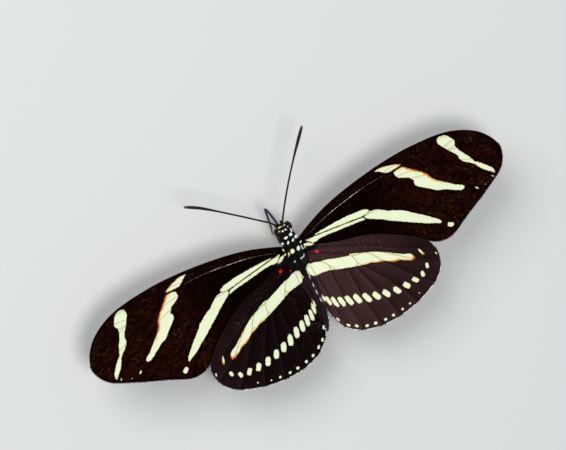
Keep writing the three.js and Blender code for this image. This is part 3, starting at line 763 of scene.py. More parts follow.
RIDGE_WIDTH, RIDGE_HEIGHT = 0.13, 0.03
ROOT_RIDGE, ROOT_FADE = 0.10, 8  # added to the height at the root, and the reach over which that fades
UNDER_RIDGES = 0.7  # height of the ridges below, as a share of those above
WAVE_X, WAVE_Y = 0.31, 0.42  # rhythm of the folds, in radians per millimetre


def wing_sides(wing, side, flat, vein, rim, reach):
    """The membrane's middle heights, and its upper and its lower points."""
    x, y = flat[:, 0], flat[:, 1]
    ridge = np.exp(-((vein / RIDGE_WIDTH) ** 2)) * (RIDGE_HEIGHT + ROOT_RIDGE * np.exp(-reach / ROOT_FADE))
    ridge *= step_between(rim, 0.0, 0.3) * wing["ridges"]
    sag = wing["sag"] * step_between(vein, 0.1, 1.1) * step_between(reach, 3, 14)
    waves = wing["folds"] * np.sin(WAVE_X * x + 0.9 * side) * np.cos(WAVE_Y * y + 0.5)
    waves *= step_between(reach, 6, 20)
    middle = ROOT_RISE + DIHEDRAL * x - DROOP * x * x - wing["drop"] - sag + waves
    half = MEMBRANE * (0.5 + 0.5 * step_between(reach, 40, 5)) / 2
    upper = np.column_stack([side * x, y, middle + half + ridge])
    lower = np.column_stack([side * x, y, middle - half - UNDER_RIDGES * ridge])
    return middle, upper, lower


def wing_numbers(kind, side, flat, vein, rim, upper):
    """What the wing's looks need to know about each of its points, first above and then below."""
    wing = WINGS[kind]
    spoke = flat - wing["root"]
    reach = np.linalg.norm(spoke, axis=1)
    depths = mark_depths(flat, wing)
    nearest = depths.argmax(0)
    by_thorax = np.where((kind == "forewing") & (reach < 3), body_marks(upper)[0], -1.0)
    aim = unit(spoke) if kind == "forewing" else np.array([0.6, 0.8])
    trails = mark_depths(flat + aim * STAIN_SHIFT[kind], wing)
    numbers = {
        "pale": np.maximum(depths.max(0), by_thorax),
        "trail": trails[nearest, np.arange(len(flat))],
        "stain": wing["stain"](flat, nearest) * (by_thorax < -0.3),
        "vein": vein,
        "rim": rim,
        "shade": wing["shade"](flat, rim),
        # where the painted highlight runs, and how strong it is there
        "line": distance_to(flat, smooth(wing["line"], CURVE_STEP)),
        "glint": wing["glint"](reach),
        "fan": np.column_stack([np.arctan2(spoke[:, 1], spoke[:, 0]), reach, side * 5 + 0 * reach]),
    }
    numbers = {name: np.concatenate([values, values]) for name, values in numbers.items()}
    return {**numbers, "red": np.concatenate([red_depth(flat, spots) for spots in wing["red"]])}


MAP_EDGE, MAP_SHARE = 0.01, 0.96  # margin of the baking map, and the share of it that a wing takes up
UNDER_ON_MAP = [0, 0.49]  # how far from the upper side the lower one lies on it


def flat_map(flat):
    """A function that gives the places on the baking map of points of a flat wing."""
    low, high = flat.min(0), flat.max(0)
    size = max(high[0] - low[0], 2.08 * (high[1] - low[1]))
    return lambda at: (at - low) / size * MAP_SHARE + MAP_EDGE


def map_wing(piece, flat, every, on_map, faces):
    """Puts the wing's two sides on the baking map, and the walls round them just beyond the outline."""
    corners = np.vstack([on_map(flat), on_map(flat) + UNDER_ON_MAP])[every.ravel()].reshape(-1, 3, 2)
    beyond = on_map(flat) + unit(flat - flat.mean(0)) * 0.004
    corners[2 * faces :] = np.vstack([beyond, beyond])[every[2 * faces :].ravel()].reshape(-1, 3, 2)
    set_map(piece, corners.reshape(-1, 2))


def make_wing(kind, side):
    """A thin closed plate with raised veins in its place beside the body, with its fringe and hairs."""
    wing = WINGS[kind]
    flat, triangles, ring = membrane(wing)
    count, faces = len(flat), len(triangles)
    vein = distance_to_veins(flat, wing)
    rim = distance_to(flat, np.vstack([ring, ring[:1]]))
    reach = np.linalg.norm(flat - wing["root"], axis=1)
    middle, upper, lower = wing_sides(wing, side, flat, vein, rim, reach)
    edge = rim_edges(triangles)
    a, b = edge[:, 0], edge[:, 1]
    walls = np.concatenate([np.stack([b, a, a + count], 1), np.stack([b, a + count, b + count], 1)])
    every = np.concatenate([triangles, triangles[:, ::-1] + count, walls])[:, ::side]
    numbers = wing_numbers(kind, side, flat, vein, rim, upper)
    node = f"{kind}_{SIDE_NAMES[side]}"
    slots = np.repeat([0, 1, 0], [faces, faces, len(walls)])
    piece = dress(
        node, "scaled", np.vstack([upper, lower]), every, wing["looks"], "wing", slots=slots, **numbers
    )
    on_map = flat_map(flat)
    map_wing(piece, flat, every, on_map, faces)
    make_fringe(kind, side, flat, middle, edge, on_map)
    make_wing_hair(kind, side, flat, upper, on_map)


FRINGE_PER_EDGE = 3
INNER_DASHES = 3.9  # rhythm of pale and dark on the right hindwing's inner margin, in radians per millimetre
INNER_YELLOW = 3.2  # y up to which both inner margins are yellow
INNER_END = 9.8  # y at which the rhythm ends
FRINGE_PALE = 0.3  # as deep in a pale mark as pale scales of the fringe count
FRINGE_LENGTH, FRINGE_WIDTH = 0.20, 0.09


def make_fringe(kind, side, flat, middle, edge, on_map):
    """Short scales along the outer and rear margin, pale between the veins of the hindwing."""
    random = np.random.default_rng(71 + side + 4 * (kind == "hindwing"))
    a, b = np.repeat(edge[:, 0], FRINGE_PER_EDGE), np.repeat(edge[:, 1], FRINGE_PER_EDGE)
    share = random.random(len(a))[:, None]
    root = flat[a] * (1 - share) + flat[b] * share
    height = middle[a] * (1 - share[:, 0]) + middle[b] * share[:, 0]
    run = unit(flat[b] - flat[a])
    out = np.column_stack([run[:, 1], -run[:, 0]])
    inner = (kind == "hindwing") & (root[:, 0] < 2.0) & (root[:, 1] > 1.2) & (root[:, 1] < INNER_END)
    far = np.linalg.norm(root - WINGS[kind]["root"], axis=1) > 6
    used = inner | ((out[:, 1] > -0.2) & far & (root[:, 0] > 2.0))
    root, height, out, inner = root[used] - 0.05 * out[used], height[used], out[used], inner[used]
    count = len(root)
    vein_ends = [np.array(line[-2:], float) for line in WINGS[kind]["veins"]]
    to_vein = np.min([distance_to(root, line) for line in vein_ends], axis=0)
    hind = (kind == "hindwing") & (out[:, 1] > 0.5)
    pale = np.where(hind & (to_vein > 0.75) & (random.random(count) > 0.25), FRINGE_PALE, -1.0)
    yellow = inner & (root[:, 1] < INNER_YELLOW)
    dashes = (side == RIGHT) & (np.sin(INNER_DASHES * root[:, 1]) > 0.0) & (random.random(count) > 0.2)
    pale = np.where(inner & (yellow | dashes), FRINGE_PALE, pale)
    aim = np.column_stack([side * out[:, 0], out[:, 1] + 1.2 * inner, 0 * height])
    aim += (0.25 - 0.1 * inner)[:, None] * random.standard_normal((count, 3))
    tufts = blades(
        np.column_stack([side * root[:, 0], root[:, 1], height + 0.08 * inner]),
        np.tile(UPWARD, (count, 1)),
        aim,
        FRINGE_LENGTH + 0.10 * random.random(count) + 0.10 * inner,
        FRINGE_WIDTH - 0.01 * inner,
        0.2 * random.standard_normal(count),
        0.1,
    )
    name = f"{kind}_{SIDE_NAMES[side]}_fringe"
    make_tufts(name, tufts, hair_look, "wing", on_map(root), pale, 0.9 * yellow)


WING_HAIRS, WING_HAIR_WIDTH, WING_HAIR_WARMTH = 1100, 0.045, 0.35


def make_wing_hair(kind, side, flat, upper, on_map):
    """Fine long hair on the root of each wing and along the hindwing's inner margin."""
    random = np.random.default_rng(81 + side + 4 * (kind == "hindwing"))
    x, y = flat[:, 0], flat[:, 1]
    if kind == "forewing":
        chance = step_between(x, 4.5, 1.5) * (y > -2.4)
        lie = np.array([side * 1.0, 0.9, 0.0])
    else:
        chance = step_between(x, np.interp(y, [0, 6], [2.6, 1.6]), 0.6) * step_between(y, 13, 6)
        by_body = np.maximum(step_between(x, 0.75, 0.95), y < 1)
        chance *= by_body * (mark_depths(flat, WINGS[kind]).max(0) < -0.1)
        lie = np.array([side * -0.12, 1.0, 0.0])
    chosen = random.choice(len(flat), WING_HAIRS, p=chance / chance.sum())
    roots = upper[chosen]
    aim = lie + 0.22 * random.standard_normal((WING_HAIRS, 3))
    lengths = 0.5 + 0.5 * random.random(WING_HAIRS)
    lifts = 0.10 + 0.12 * random.random(WING_HAIRS)
    widths = np.full(WING_HAIRS, WING_HAIR_WIDTH)
    tufts = blades(roots, np.tile(UPWARD, (WING_HAIRS, 1)), aim, lengths, widths, lifts, 0.15)
    covered = roots + unit(aim) * lengths[:, None] * 0.5
    pale = mark_depths(covered[:, :2] * [side, 1], WINGS[kind]).max(0)
    if kind == "forewing":
        pale = np.maximum(pale, body_marks(covered)[0])
    look = hair_look if kind == "forewing" else margin_look
    name = f"{kind}_{SIDE_NAMES[side]}_hair"
    warm = np.full(WING_HAIRS, WING_HAIR_WARMTH)
    make_tufts(name, tufts, look, "wing", on_map(flat[chosen]), pale, warm)


# Body: one skin round head, thorax and abdomen, inside the solids by the coat's depth


def oval_depth(at, centre, radii):
    """Rough distance outside an ellipsoid."""
    q = at - np.array(centre)
    k0 = np.linalg.norm(q / radii, axis=-1)
    k1 = np.linalg.norm(q / np.square(radii), axis=-1)
    return k0 * (k0 - 1) / np.maximum(k1, 1e-9)


def merged(a, b, softness):
    h = np.clip(0.5 + 0.5 * (b - a) / softness, 0, 1)
    return b * (1 - h) + a * h - softness * h * (1 - h)


EYE_CENTRE, EYE_RADII = (1.37, -6.85, 0.02), (0.54, 0.9, 0.98)
BODY_LUMPS = [
    ((0, -2.35, 0.12), (1.85, 2.3, 1.8), 0.3),  # middle of the thorax
    ((0, -0.2, -0.3), (1.6, 1.9, 1.6), 0.4),  # rear of the thorax
    ((0, -4.6, -0.05), (1.68, 1.0, 1.3), 0.4),  # collar
    ((1.35, -2.6, 0.95), (0.65, 1.35, 0.6), 0.3),  # forewing hinge
    ((1.3, -0.5, 0.3), (0.6, 1.25, 0.55), 0.3),  # hindwing hinge
    ((0.75, -0.9, -1.45), (0.55, 0.9, 0.7), 0.35),  # leg bases
    ((0.75, 0.4, -1.6), (0.5, 0.8, 0.6), 0.35),
    ((0.6, -3.6, -1.1), (0.42, 0.6, 0.6), 0.3),
    ((0, -0.35, 1.05), (0.7, 0.6, 0.42), 0.25),  # scutellum
    ((0, -5.5, -0.05), (1.4, 0.85, 1.15), 0.3),  # neck
    ((0, -6.4, -0.05), (1.4, 1.3, 1.28), 0.25),  # head
    ((0, -7.2, -0.15), (1.12, 0.72, 0.98), 0.3),  # face
]
ABDOMEN_START, ABDOMEN_LENGTH = 1.7, 13.25
ABDOMEN_DROP, ABDOMEN_SLOPE, ABDOMEN_CURL = 1.35, 0.45, 3.3
ABDOMEN_BEND, ABDOMEN_SWAY = 0.3, 0.3  # of the tip to the left and of the middle to the right
ABDOMEN_SHARES = [0, 0.17, 0.34, 0.51, 0.68, 0.85, 0.95, 1]
ABDOMEN_RADII = [0.85, 1.12, 1.17, 1.12, 1.02, 0.84, 0.62, 0.36]
SEGMENTS = 8


def share_at(y):
    """How far along the abdomen y is, from 0 to 1."""
    return np.clip((y - ABDOMEN_START) / ABDOMEN_LENGTH, 0, 1)


def abdomen_height(share):
    """Height of the abdomen's axis, which runs back almost level and then curls down toward the tip."""
    return -(ABDOMEN_DROP + ABDOMEN_SLOPE * share + ABDOMEN_CURL * share**3)


def abdomen_aside(share):
    return ABDOMEN_BEND * share**6 - ABDOMEN_SWAY * np.sin(math.pi * share)


def abdomen_share(at):
    """How far along the abdomen's axis, from 0 to 1, the place nearest to each point is."""
    y, z = at[..., 1], at[..., 2]
    share = share_at(y)
    slope = -(ABDOMEN_SLOPE + 3 * ABDOMEN_CURL * share**2) / ABDOMEN_LENGTH
    return share_at(y + slope * (z - abdomen_height(share)) / (1 + slope**2))


def abdomen_depth(at):
    share = abdomen_share(at)
    ring = (share * SEGMENTS) % 1
    swell = 0.955 + 0.075 * ring**0.8 - 0.05 * step_between(ring, 0.9, 1.0)
    radius = np.interp(share, ABDOMEN_SHARES, ABDOMEN_RADII) * swell
    axis = np.stack([0 * share, ABDOMEN_START + share * ABDOMEN_LENGTH, abdomen_height(share)], axis=-1)
    rel = at - axis
    rel[..., 0] *= 1.04
    return np.linalg.norm(rel, axis=-1) - radius


def body_depth(at):
    """Rough distance outside the body's skin."""
    folded = at.copy()
    folded[..., 0] = np.abs(folded[..., 0])
    found = abdomen_depth(folded)
    for centre, radii, softness in BODY_LUMPS:
        found = merged(found, oval_depth(folded, centre, radii), softness)
    return found


HEAD_TURN, HEAD_CENTRE, HEAD_FORWARD = math.radians(9), np.array([0.0, -6.6, 0.0]), 0.1
NECK = (-4.8, -5.9)  # y from which the head's turn sets in, and y where it is whole
COLLAR_PLACES, COLLAR_ASIDE = [-5.6, -4.4, -2.6], [-0.28, -0.4, 0]  # y, and how far aside the body is there
# The axis in front of the abdomen: y and height
FRONT_PLACES, FRONT_HEIGHTS = [-8.2, -5, 0.5, 1.9], [-0.15, -0.05, -0.4, -1.35]


def posed(at, amount=1.0):
    """The points with the head turned to the animal's left, and collar and abdomen a little aside.

    An amount of -1 turns them back.
    """
    turn = HEAD_TURN * amount
    c, s = math.cos(turn), math.sin(turn)
    turned = HEAD_CENTRE + (at - HEAD_CENTRE) @ np.array([[c, s, 0], [-s, c, 0], [0, 0, 1]])
    by_neck = step_between(at[..., 1], *NECK)
    found = at + (turned - at) * by_neck[..., None]
    found[..., 0] += amount * np.interp(at[..., 1], COLLAR_PLACES, COLLAR_ASIDE)
    found[..., 1] += amount * HEAD_FORWARD * by_neck
    found[..., 0] += amount * abdomen_aside(share_at(at[..., 1]))
    return found


def axis_height(y):
    """Height of the line that the skin's rings are centred on."""
    front = np.interp(y, FRONT_PLACES, FRONT_HEIGHTS)
    return np.where(y > FRONT_PLACES[-1], abdomen_height(share_at(y)), front)


def on_axis(y):
    return np.column_stack([0 * y, y, axis_height(y)])


SKIN_ROWS, SKIN_COLUMNS = 330, 112
SEARCH_START, SEARCH_END, SEARCH_OUT = -8.6, 16.2, 2.6  # y and reach within which the body lies


def make_skin():
    """The skin as rings of points, found by going outward from the axis until the body ends."""
    y = np.linspace(SEARCH_START, SEARCH_END, 2500)
    within = y[body_depth(on_axis(y)) < -0.01]
    share = np.linspace(0, 1, SKIN_ROWS)
    rows = within[0] + (within[-1] - within[0]) * (share - 0.02 * np.sin(2 * math.pi * share))
    angles = np.linspace(0, 2 * math.pi, SKIN_COLUMNS, endpoint=False)
    out = np.column_stack([np.sin(angles), 0 * angles, np.cos(angles)])
    centre = on_axis(rows)[:, None, :]
    near, far = np.zeros((SKIN_ROWS, SKIN_COLUMNS)), np.full((SKIN_ROWS, SKIN_COLUMNS), SEARCH_OUT)
    for _ in range(18):
        trial = 0.5 * (near + far)
        inside = body_depth(centre + out * trial[..., None]) < 0
        near, far = np.where(inside, trial, near), np.where(inside, far, trial)
    return posed(centre + out * near[..., None])


# [x, y, half run in x, half run in y, radius, warmth] of the pale spots and streaks, seen from above
HEAD_SPOTS = [
    [0.30, -7.45, 0.18, 0.03, 0.15, 0.8], [-0.64, -7.46, 0.16, 0.02, 0.16, 0.1],
    [-1.15, -6.85, 0, 0, 0.14, 0.9], [0.68, -6.74, 0, 0, 0.16, 0.8], [0.11, -6.55, 0, 0, 0.18, 0.4],
    [-0.48, -6.59, 0, 0, 0.18, 0.3], [-1.43, -6.0, 0.06, 0.32, 0.13, 0.0],
    [0.97, -6.02, 0.06, 0.12, 0.15, 0.9],
]
THORAX_SPOTS = [
    [0.14, -5.13, 0.15, 0.03, 0.22, 0.2], [-0.91, -5.28, 0.08, 0.02, 0.28, 0.1],
    [-1.66, -4.42, 0.10, 0.04, 0.26, 0.0], [-0.81, -4.17, 0.14, 0.12, 0.19, 0.0],
    [1.20, -4.30, 0.05, 0.08, 0.19, 0.1], [0.23, -4.09, 0.10, 0.17, 0.17, 0.1],
    [-1.85, -3.22, 0.04, 0.05, 0.17, 0.0], [0.36, -2.41, 0.05, 0.10, 0.33, 0.55],
    [-0.88, -2.36, 0.06, 0.10, 0.32, 0.0], [-1.66, -2.2, 0.02, 0.30, 0.13, 0.0],
    [-2.2, -2.2, 0.08, 0.24, 0.12, 0.1], [1.78, -3.42, 0.04, 0.06, 0.18, 0.5],
    [1.18, -2.25, 0.06, 0.24, 0.12, 0.9], [1.85, -2.5, 0.10, 0.10, 0.12, 1.0],
    [-1.32, -0.55, 0.20, 0.17, 0.10, 0.4], [-0.66, -0.36, 0.20, 0.06, 0.10, 0.4],
    [0.75, -0.35, 0.16, 0.05, 0.08, 0.4],
]
FLANK_SPOTS = [[-4.2, -0.5, 0.30], [-2.7, -0.7, 0.42], [-1.0, -0.8, 0.42], [0.6, -1.0, 0.32]]  # y, z, radius
SIDE_BEADS = 14  # pale dashes along each side of the abdomen
SIDE_TURN = 1.0  # their place round it, from the top
BELLY_TURN, UNDER_TURN = 2.05, 2.9  # the belly is pale between these turns from the top


def body_marks(at):
    """Depth inside the pale marks and their warmth, for points on or over the skin."""
    x, y, z = at[:, 0], at[:, 1], at[:, 2]
    pale, warm = np.full(len(at), -1.0), np.zeros(len(at))
    plan = at[:, :2]
    for sx, sy, run_x, run_y, radius, tone in [*HEAD_SPOTS, *THORAX_SPOTS]:
        dash = np.array([[sx - run_x, sy - run_y], [sx + run_x + 1e-4, sy + run_y]])
        depth = np.where(z > -0.4, radius - distance_to(plan, dash), -1.0)
        warm = np.where(depth > pale, tone, warm)
        pale = np.maximum(pale, depth)
    for sy, sz, radius in FLANK_SPOTS:
        pale = np.maximum(pale, np.where(np.abs(x) > 0.8, radius - np.hypot(y - sy, z - sz), -1.0))
    share = abdomen_share(at)
    radius = np.interp(share, ABDOMEN_SHARES, ABDOMEN_RADII)
    turn = np.arctan2(np.abs(x - abdomen_aside(share)), z - abdomen_height(share))
    bead = 0.5 - np.abs((share * SIDE_BEADS) % 1 - 0.5)
    side_line = np.minimum(0.16 - np.abs(turn - SIDE_TURN) * radius, bead - 0.10)
    belly = np.where(turn > UNDER_TURN, -1.0, (turn - BELLY_TURN) * radius)
    stripes = np.where(y > 2.0, np.maximum(side_line, belly), -1.0)
    warm = np.where(stripes > pale, np.where(turn < 1.5, 0.4 - 0.4 * share, 0.5), warm)
    return np.maximum(pale, stripes), warm


def on_skin_map(u, v):
    """Places on the baking map, from the skin's columns and rows, with the skin unrolled along the belly."""
    return np.stack([0.01 + 0.98 * u / SKIN_COLUMNS, 0.01 + 0.98 * v / (SKIN_ROWS - 1)], axis=-1)


def skin_map(triangles):
    """The place on the map of each corner of the skin's triangles."""
    column = np.r_[np.tile(np.arange(SKIN_COLUMNS), SKIN_ROWS), 0, 0]
    row = np.r_[np.repeat(np.arange(SKIN_ROWS), SKIN_COLUMNS), 0, SKIN_ROWS - 1]
    half = SKIN_COLUMNS // 2
    u = ((column + half) % SKIN_COLUMNS)[triangles].astype(float)
    wraps = np.ptp(u, axis=1) > half
    u[wraps] = np.where(u[wraps] < half, u[wraps] + SKIN_COLUMNS, u[wraps])
    return on_skin_map(u, row[triangles]).reshape(-1, 2)


skin = make_skin()
skin_points = np.vstack([skin.reshape(-1, 3), skin[0].mean(0), skin[-1].mean(0)])
skin_triangles = ring_triangles(SKIN_ROWS, SKIN_COLUMNS)[:, ::-1]
pale, warm = body_marks(skin_points)
body = make_piece(
    "body_skin", skin_points, skin_triangles, [skin_look], "body_scales",
    replaces=["head", "thorax", "abdomen"], pale=pale, warm=warm,
)
set_map(body, skin_map(skin_triangles))

# Coat of the body


def scatter(span, per_mm2, seed):
    """Random places on a stretch of the skin, with their normals and their places on the baking map."""
    random = np.random.default_rng(seed)
    a, b, c = skin[:-1], np.roll(skin, -1, axis=1)[:-1], skin[1:]
    cross = np.cross(b - a, c - a)
    y = ((a + b + c) / 3)[..., 1]
    expected = np.linalg.norm(cross, axis=-1) * (per_mm2 * (y > span[0]) * (y <= span[1]))
    count = np.floor(expected + random.random(expected.shape)).astype(int)
    row, column = np.nonzero(count)
    repeat = count[row, column]
    row, column = np.repeat(row, repeat), np.repeat(column, repeat)
    s, t = random.random((2, len(row), 1))
    roots = a[row, column] + (b - a)[row, column] * s + (c - a)[row, column] * t
    normals = unit(cross[row, column])
    normals *= np.sign((normals * (roots - on_axis(roots[:, 1]))).sum(1))[:, None]
    places = on_skin_map((column + SKIN_COLUMNS // 2) % SKIN_COLUMNS + s[:, 0], row + t[:, 0])
    return roots, normals, places, random


def free_of_eyes(at):
    straight = posed(at, -1.0)
    folded = np.abs(straight) * [1, 0, 0] + straight * [0, 1, 1]
    return oval_depth(folded, EYE_CENTRE, np.array(EYE_RADII)) > 0.05


def down_the_body(at):
    """Backward and a little down, and over the face upward."""
    on_face = (at[:, 1] < -7.35)[:, None]
    return np.where(on_face, [0.0, -0.5, 1.0], [0.0, 1.0, -0.25])


def coat(name, span, per_mm2, places_and_lengths, width, lift, seed):
    """Tufts over a stretch of the skin in y, each coloured by the place that it covers."""
    roots, normals, places, random = scatter(span, per_mm2, seed)
    keep = free_of_eyes(roots)
    roots, normals, places = roots[keep], normals[keep], places[keep]
    count = len(roots)
    lie = down_the_body(roots)
    by_mark = step_between(body_marks(roots + lie * 0.2)[0], -0.5, -0.1)
    lengths = np.interp(roots[:, 1], *places_and_lengths)
    lengths *= (0.75 + 0.5 * random.random(count)) * (1 - 0.4 * by_mark)
    aim = lie + (0.35 - 0.15 * by_mark[:, None]) * random.standard_normal((count, 3))
    lifts = lift * (0.6 + 0.8 * random.random(count)) * (1 - 0.4 * by_mark)
    widths = width * (0.75 + 0.5 * random.random(count)) * (1 + 0.4 * by_mark)
    tufts = blades(roots, normals, aim, lengths, widths, lifts, lifts * 0.8)
    pale, warm = body_marks(roots + unit(lie) * lengths[:, None] * 0.6)
    make_tufts(name, tufts, hair_look, "body_scales", places, pale, warm)


COLLAR_FRONT, THORAX_END, SCALES_START = -5.2, 2.0, 1.6  # y at which the kinds of coat begin and end
THORAX_LENGTHS = ([-5.2, -4, -1, 2], [0.45, 0.6, 0.8, 0.7])  # y and length
SCALE_LENGTHS = ([1.6, 3, 15], [0.6, 0.34, 0.30])
coat("thorax_hair", (COLLAR_FRONT, THORAX_END), 125.0, THORAX_LENGTHS, width=0.085, lift=0.26, seed=11)
coat("head_hair", (-math.inf, COLLAR_FRONT), 190.0, ([0], [0.34]), width=0.065, lift=0.5, seed=12)
coat("abdomen_scales", (SCALES_START, math.inf), 110.0, SCALE_LENGTHS, width=0.12, lift=0.14, seed=13)
for side in BOTH_SIDES:
    make_wing("forewing", side)
    make_wing("hindwing", side)

# Eyes

EYE_ROWS, EYE_COLUMNS = 40, 64
FACETS_PER_MM = 16.0


def eye_look():
    look = Look("eye", roughness=0.25, specular_ior_level=0.1, coat_weight=0.12, coat_roughness=0.08)
    shade = look.mix(look.noise(1.3), (0.004, 0.002, 0.002), (0.024, 0.006, 0.004))
    look.bump(look.cells(FACETS_PER_MM, output="Distance"), 0.02, 0.5)
    return look.finish(shade)


eye_material = eye_look()


def make_eye(side):
    polar = np.linspace(0.02, math.pi - 0.02, EYE_ROWS)[:, None]
    turn = np.linspace(0, 2 * math.pi, EYE_COLUMNS, endpoint=False)[None, :]
    x, y, z = np.sin(polar) * np.cos(turn), np.sin(polar) * np.sin(turn), np.cos(polar) + 0 * turn
    ball = np.vstack([np.stack([x, y, z], axis=-1).reshape(-1, 3), [0, 0, 1], [0, 0, -1]])
    points = posed(ball * EYE_RADII + np.array(EYE_CENTRE) * [side, 1, 1])
    triangles = ring_triangles(EYE_ROWS, EYE_COLUMNS)[:, ::-1]
    dress(f"eye_{SIDE_NAMES[side]}", "faceted", points, triangles, [eye_material], "eye")


make_eye(LEFT)
make_eye(RIGHT)

# Feelers

ANTENNAE = {
    LEFT: [
        [0.45, -7.6, 0.3], [1.5, -9.02, 1.1], [2.8, -10.15, 1.4], [7.7, -14.3, 2.0], [12.3, -18.0, 2.6],
        [15.05, -19.7, 2.9],
    ],
    RIGHT: [
        [-0.35, -7.4, 0.7], [-0.65, -8.1, 0.95], [-1.9, -10.1, 1.4], [-4.7, -13.9, 1.85],
        [-8.2, -18.2, 2.35], [-12.15, -22.65, 2.9],
    ],
}
ANTENNA_SHAFT, ANTENNA_CLUB = 0.17, 0.30
CLUB_START = 0.62  # share of the length at which the antenna begins to swell


def antenna_radius(t):
    club = np.clip((t - CLUB_START) / (1 - CLUB_START), 0, 1)
    swollen = (ANTENNA_CLUB - ANTENNA_SHAFT) * np.sin(math.pi * club**1.5 * 0.86)
    ring = 1 + 0.07 * np.sin(2 * math.pi * ANTENNA_RINGS * t)
    end = np.sqrt(np.clip((1 - t) / 0.012, 0, 1))
    return (ANTENNA_SHAFT + swollen) * ring * end + 0.004


for side in BOTH_SIDES:
    line = smooth(ANTENNAE[side], 0.055)
    points, triangles, along = tube(line, antenna_radius(np.linspace(0, 1, len(line))), 14)
    node = f"antenna_{SIDE_NAMES[side]}"
    dress(node, "ringed", points, triangles, [feeler_look], "feeler", along=along)

# Feeding tube: two half tubes side by side

TONGUE = [
    [0.05, -7.4, -0.95], [0.2, -8.8, -0.9], [0.65, -11.0, -0.6], [0.86, -11.62, -0.85], [0.75, -10.5, -2.7],
    [0.55, -7.9, -5.9], [0.48, -5.6, -9.3],
]
TONGUE_SHARES, TONGUE_RADII = [0, 0.4, 0.97, 1], [0.17, 0.15, 0.09, 0.03]
HALF_ASIDE = 0.085  # of each half's middle line
halves = []
for offset in (-HALF_ASIDE, HALF_ASIDE):
    line = smooth(TONGUE, 0.1) + [offset, 0, 0]
    halves.append(tube(line, np.interp(np.linspace(0, 1, len(line)), TONGUE_SHARES, TONGUE_RADII)))
points, triangles, along = joined(halves)
dress("proboscis", "halves", points, triangles, [tongue_look], "mouthparts", along=along)

# Palps, hairy all round


PALP = [[0.5, -7.0, -0.9], [0.8, -7.7, -0.95], [0.66, -8.15, -0.5], [0.46, -8.2, 0.05]]
PALP_SHARES, PALP_RADII = [0, 0.3, 0.75, 0.8, 1], [0.2, 0.24, 0.17, 0.13, 0.05]
PALP_SIDES, PALP_HAIRS = 14, 620


def make_palp(side):
    line = posed(smooth(PALP, 0.06) * [side, 1, 1])
    radius = np.interp(np.linspace(0, 1, len(line)), PALP_SHARES, PALP_RADII)
    core = tube(line, radius, PALP_SIDES)
    random = np.random.default_rng(21 + side)
    pick = random.integers(0, len(core[0]) - 2, PALP_HAIRS)
    centre = line[pick // PALP_SIDES]
    roots = core[0][pick]
    aims = np.gradient(line, axis=0)[pick // PALP_SIDES]
    lengths = 0.16 + 0.22 * random.random(PALP_HAIRS)
    widths, lifts = np.full(PALP_HAIRS, 0.045), np.full(PALP_HAIRS, 0.5)
    points, triangles = blades(roots, unit(roots - centre), aims, lengths, widths, lifts, 0.3)
    outer = side * (roots[:, 0] - centre[:, 0])
    side_tufts = np.where((outer > 0.05) & (roots[:, 2] < -0.5), 0.3, -1.0)
    pale = np.concatenate([np.full(len(core[0]), -1.0), np.repeat(side_tufts, TUFT_POINTS)])
    points, triangles, _ = joined([core, (points, triangles, np.zeros(len(points)))])
    numbers = {"pale": pale, "warm": 0 * pale + 0.2}
    dress(f"palp_{SIDE_NAMES[side]}", "hairy", points, triangles, [hair_look], "mouthparts", **numbers)


make_palp(LEFT)
make_palp(RIGHT)

# Legs, with heights above the floor

LEGS = {
    "midleg": {
        "hip": [0.7, -0.7, 8.6], "knee": [5.2, -2.5, 7.4],
        "ankle": [7.5, -3.3, 1.0], "toe": [10.4, -4.3, 0.2],
    },
    "hindleg": {
        "hip": [0.7, 0.5, 8.3], "knee": [4.7, 4.0, 7.0],
        "ankle": [6.1, 7.2, 1.0], "toe": [7.5, 10.2, 0.2],
    },
}
FRONT_LEG = [[0.6, -3.5, 9.0], [0.85, -4.5, 7.2], [0.8, -5.7, 6.9], [0.65, -6.2, 7.75]]
SOLE = 0.19  # height of the foot's middle line, so that its underside just touches the floor
CLAW_SPREAD = 0.12
SPINE_WIDTH, SPINE_LIFT = 0.05, 0.7


def spines(line, radius, count, length, seed):
    """Short spikes that stand out from a leg and point to its foot."""
    random = np.random.default_rng(seed)
    at = random.integers(1, len(line) - 1, count)
    tangent = unit(np.gradient(line, axis=0))[at]
    out = unit(np.cross(tangent, random.standard_normal((count, 3))))
    roots = line[at] + out * radius * 0.8
    lengths, widths, lifts = (np.full(count, value) for value in (length, SPINE_WIDTH, SPINE_LIFT))
    return blades(roots, out, tangent, lengths, widths, lifts, 0.1)


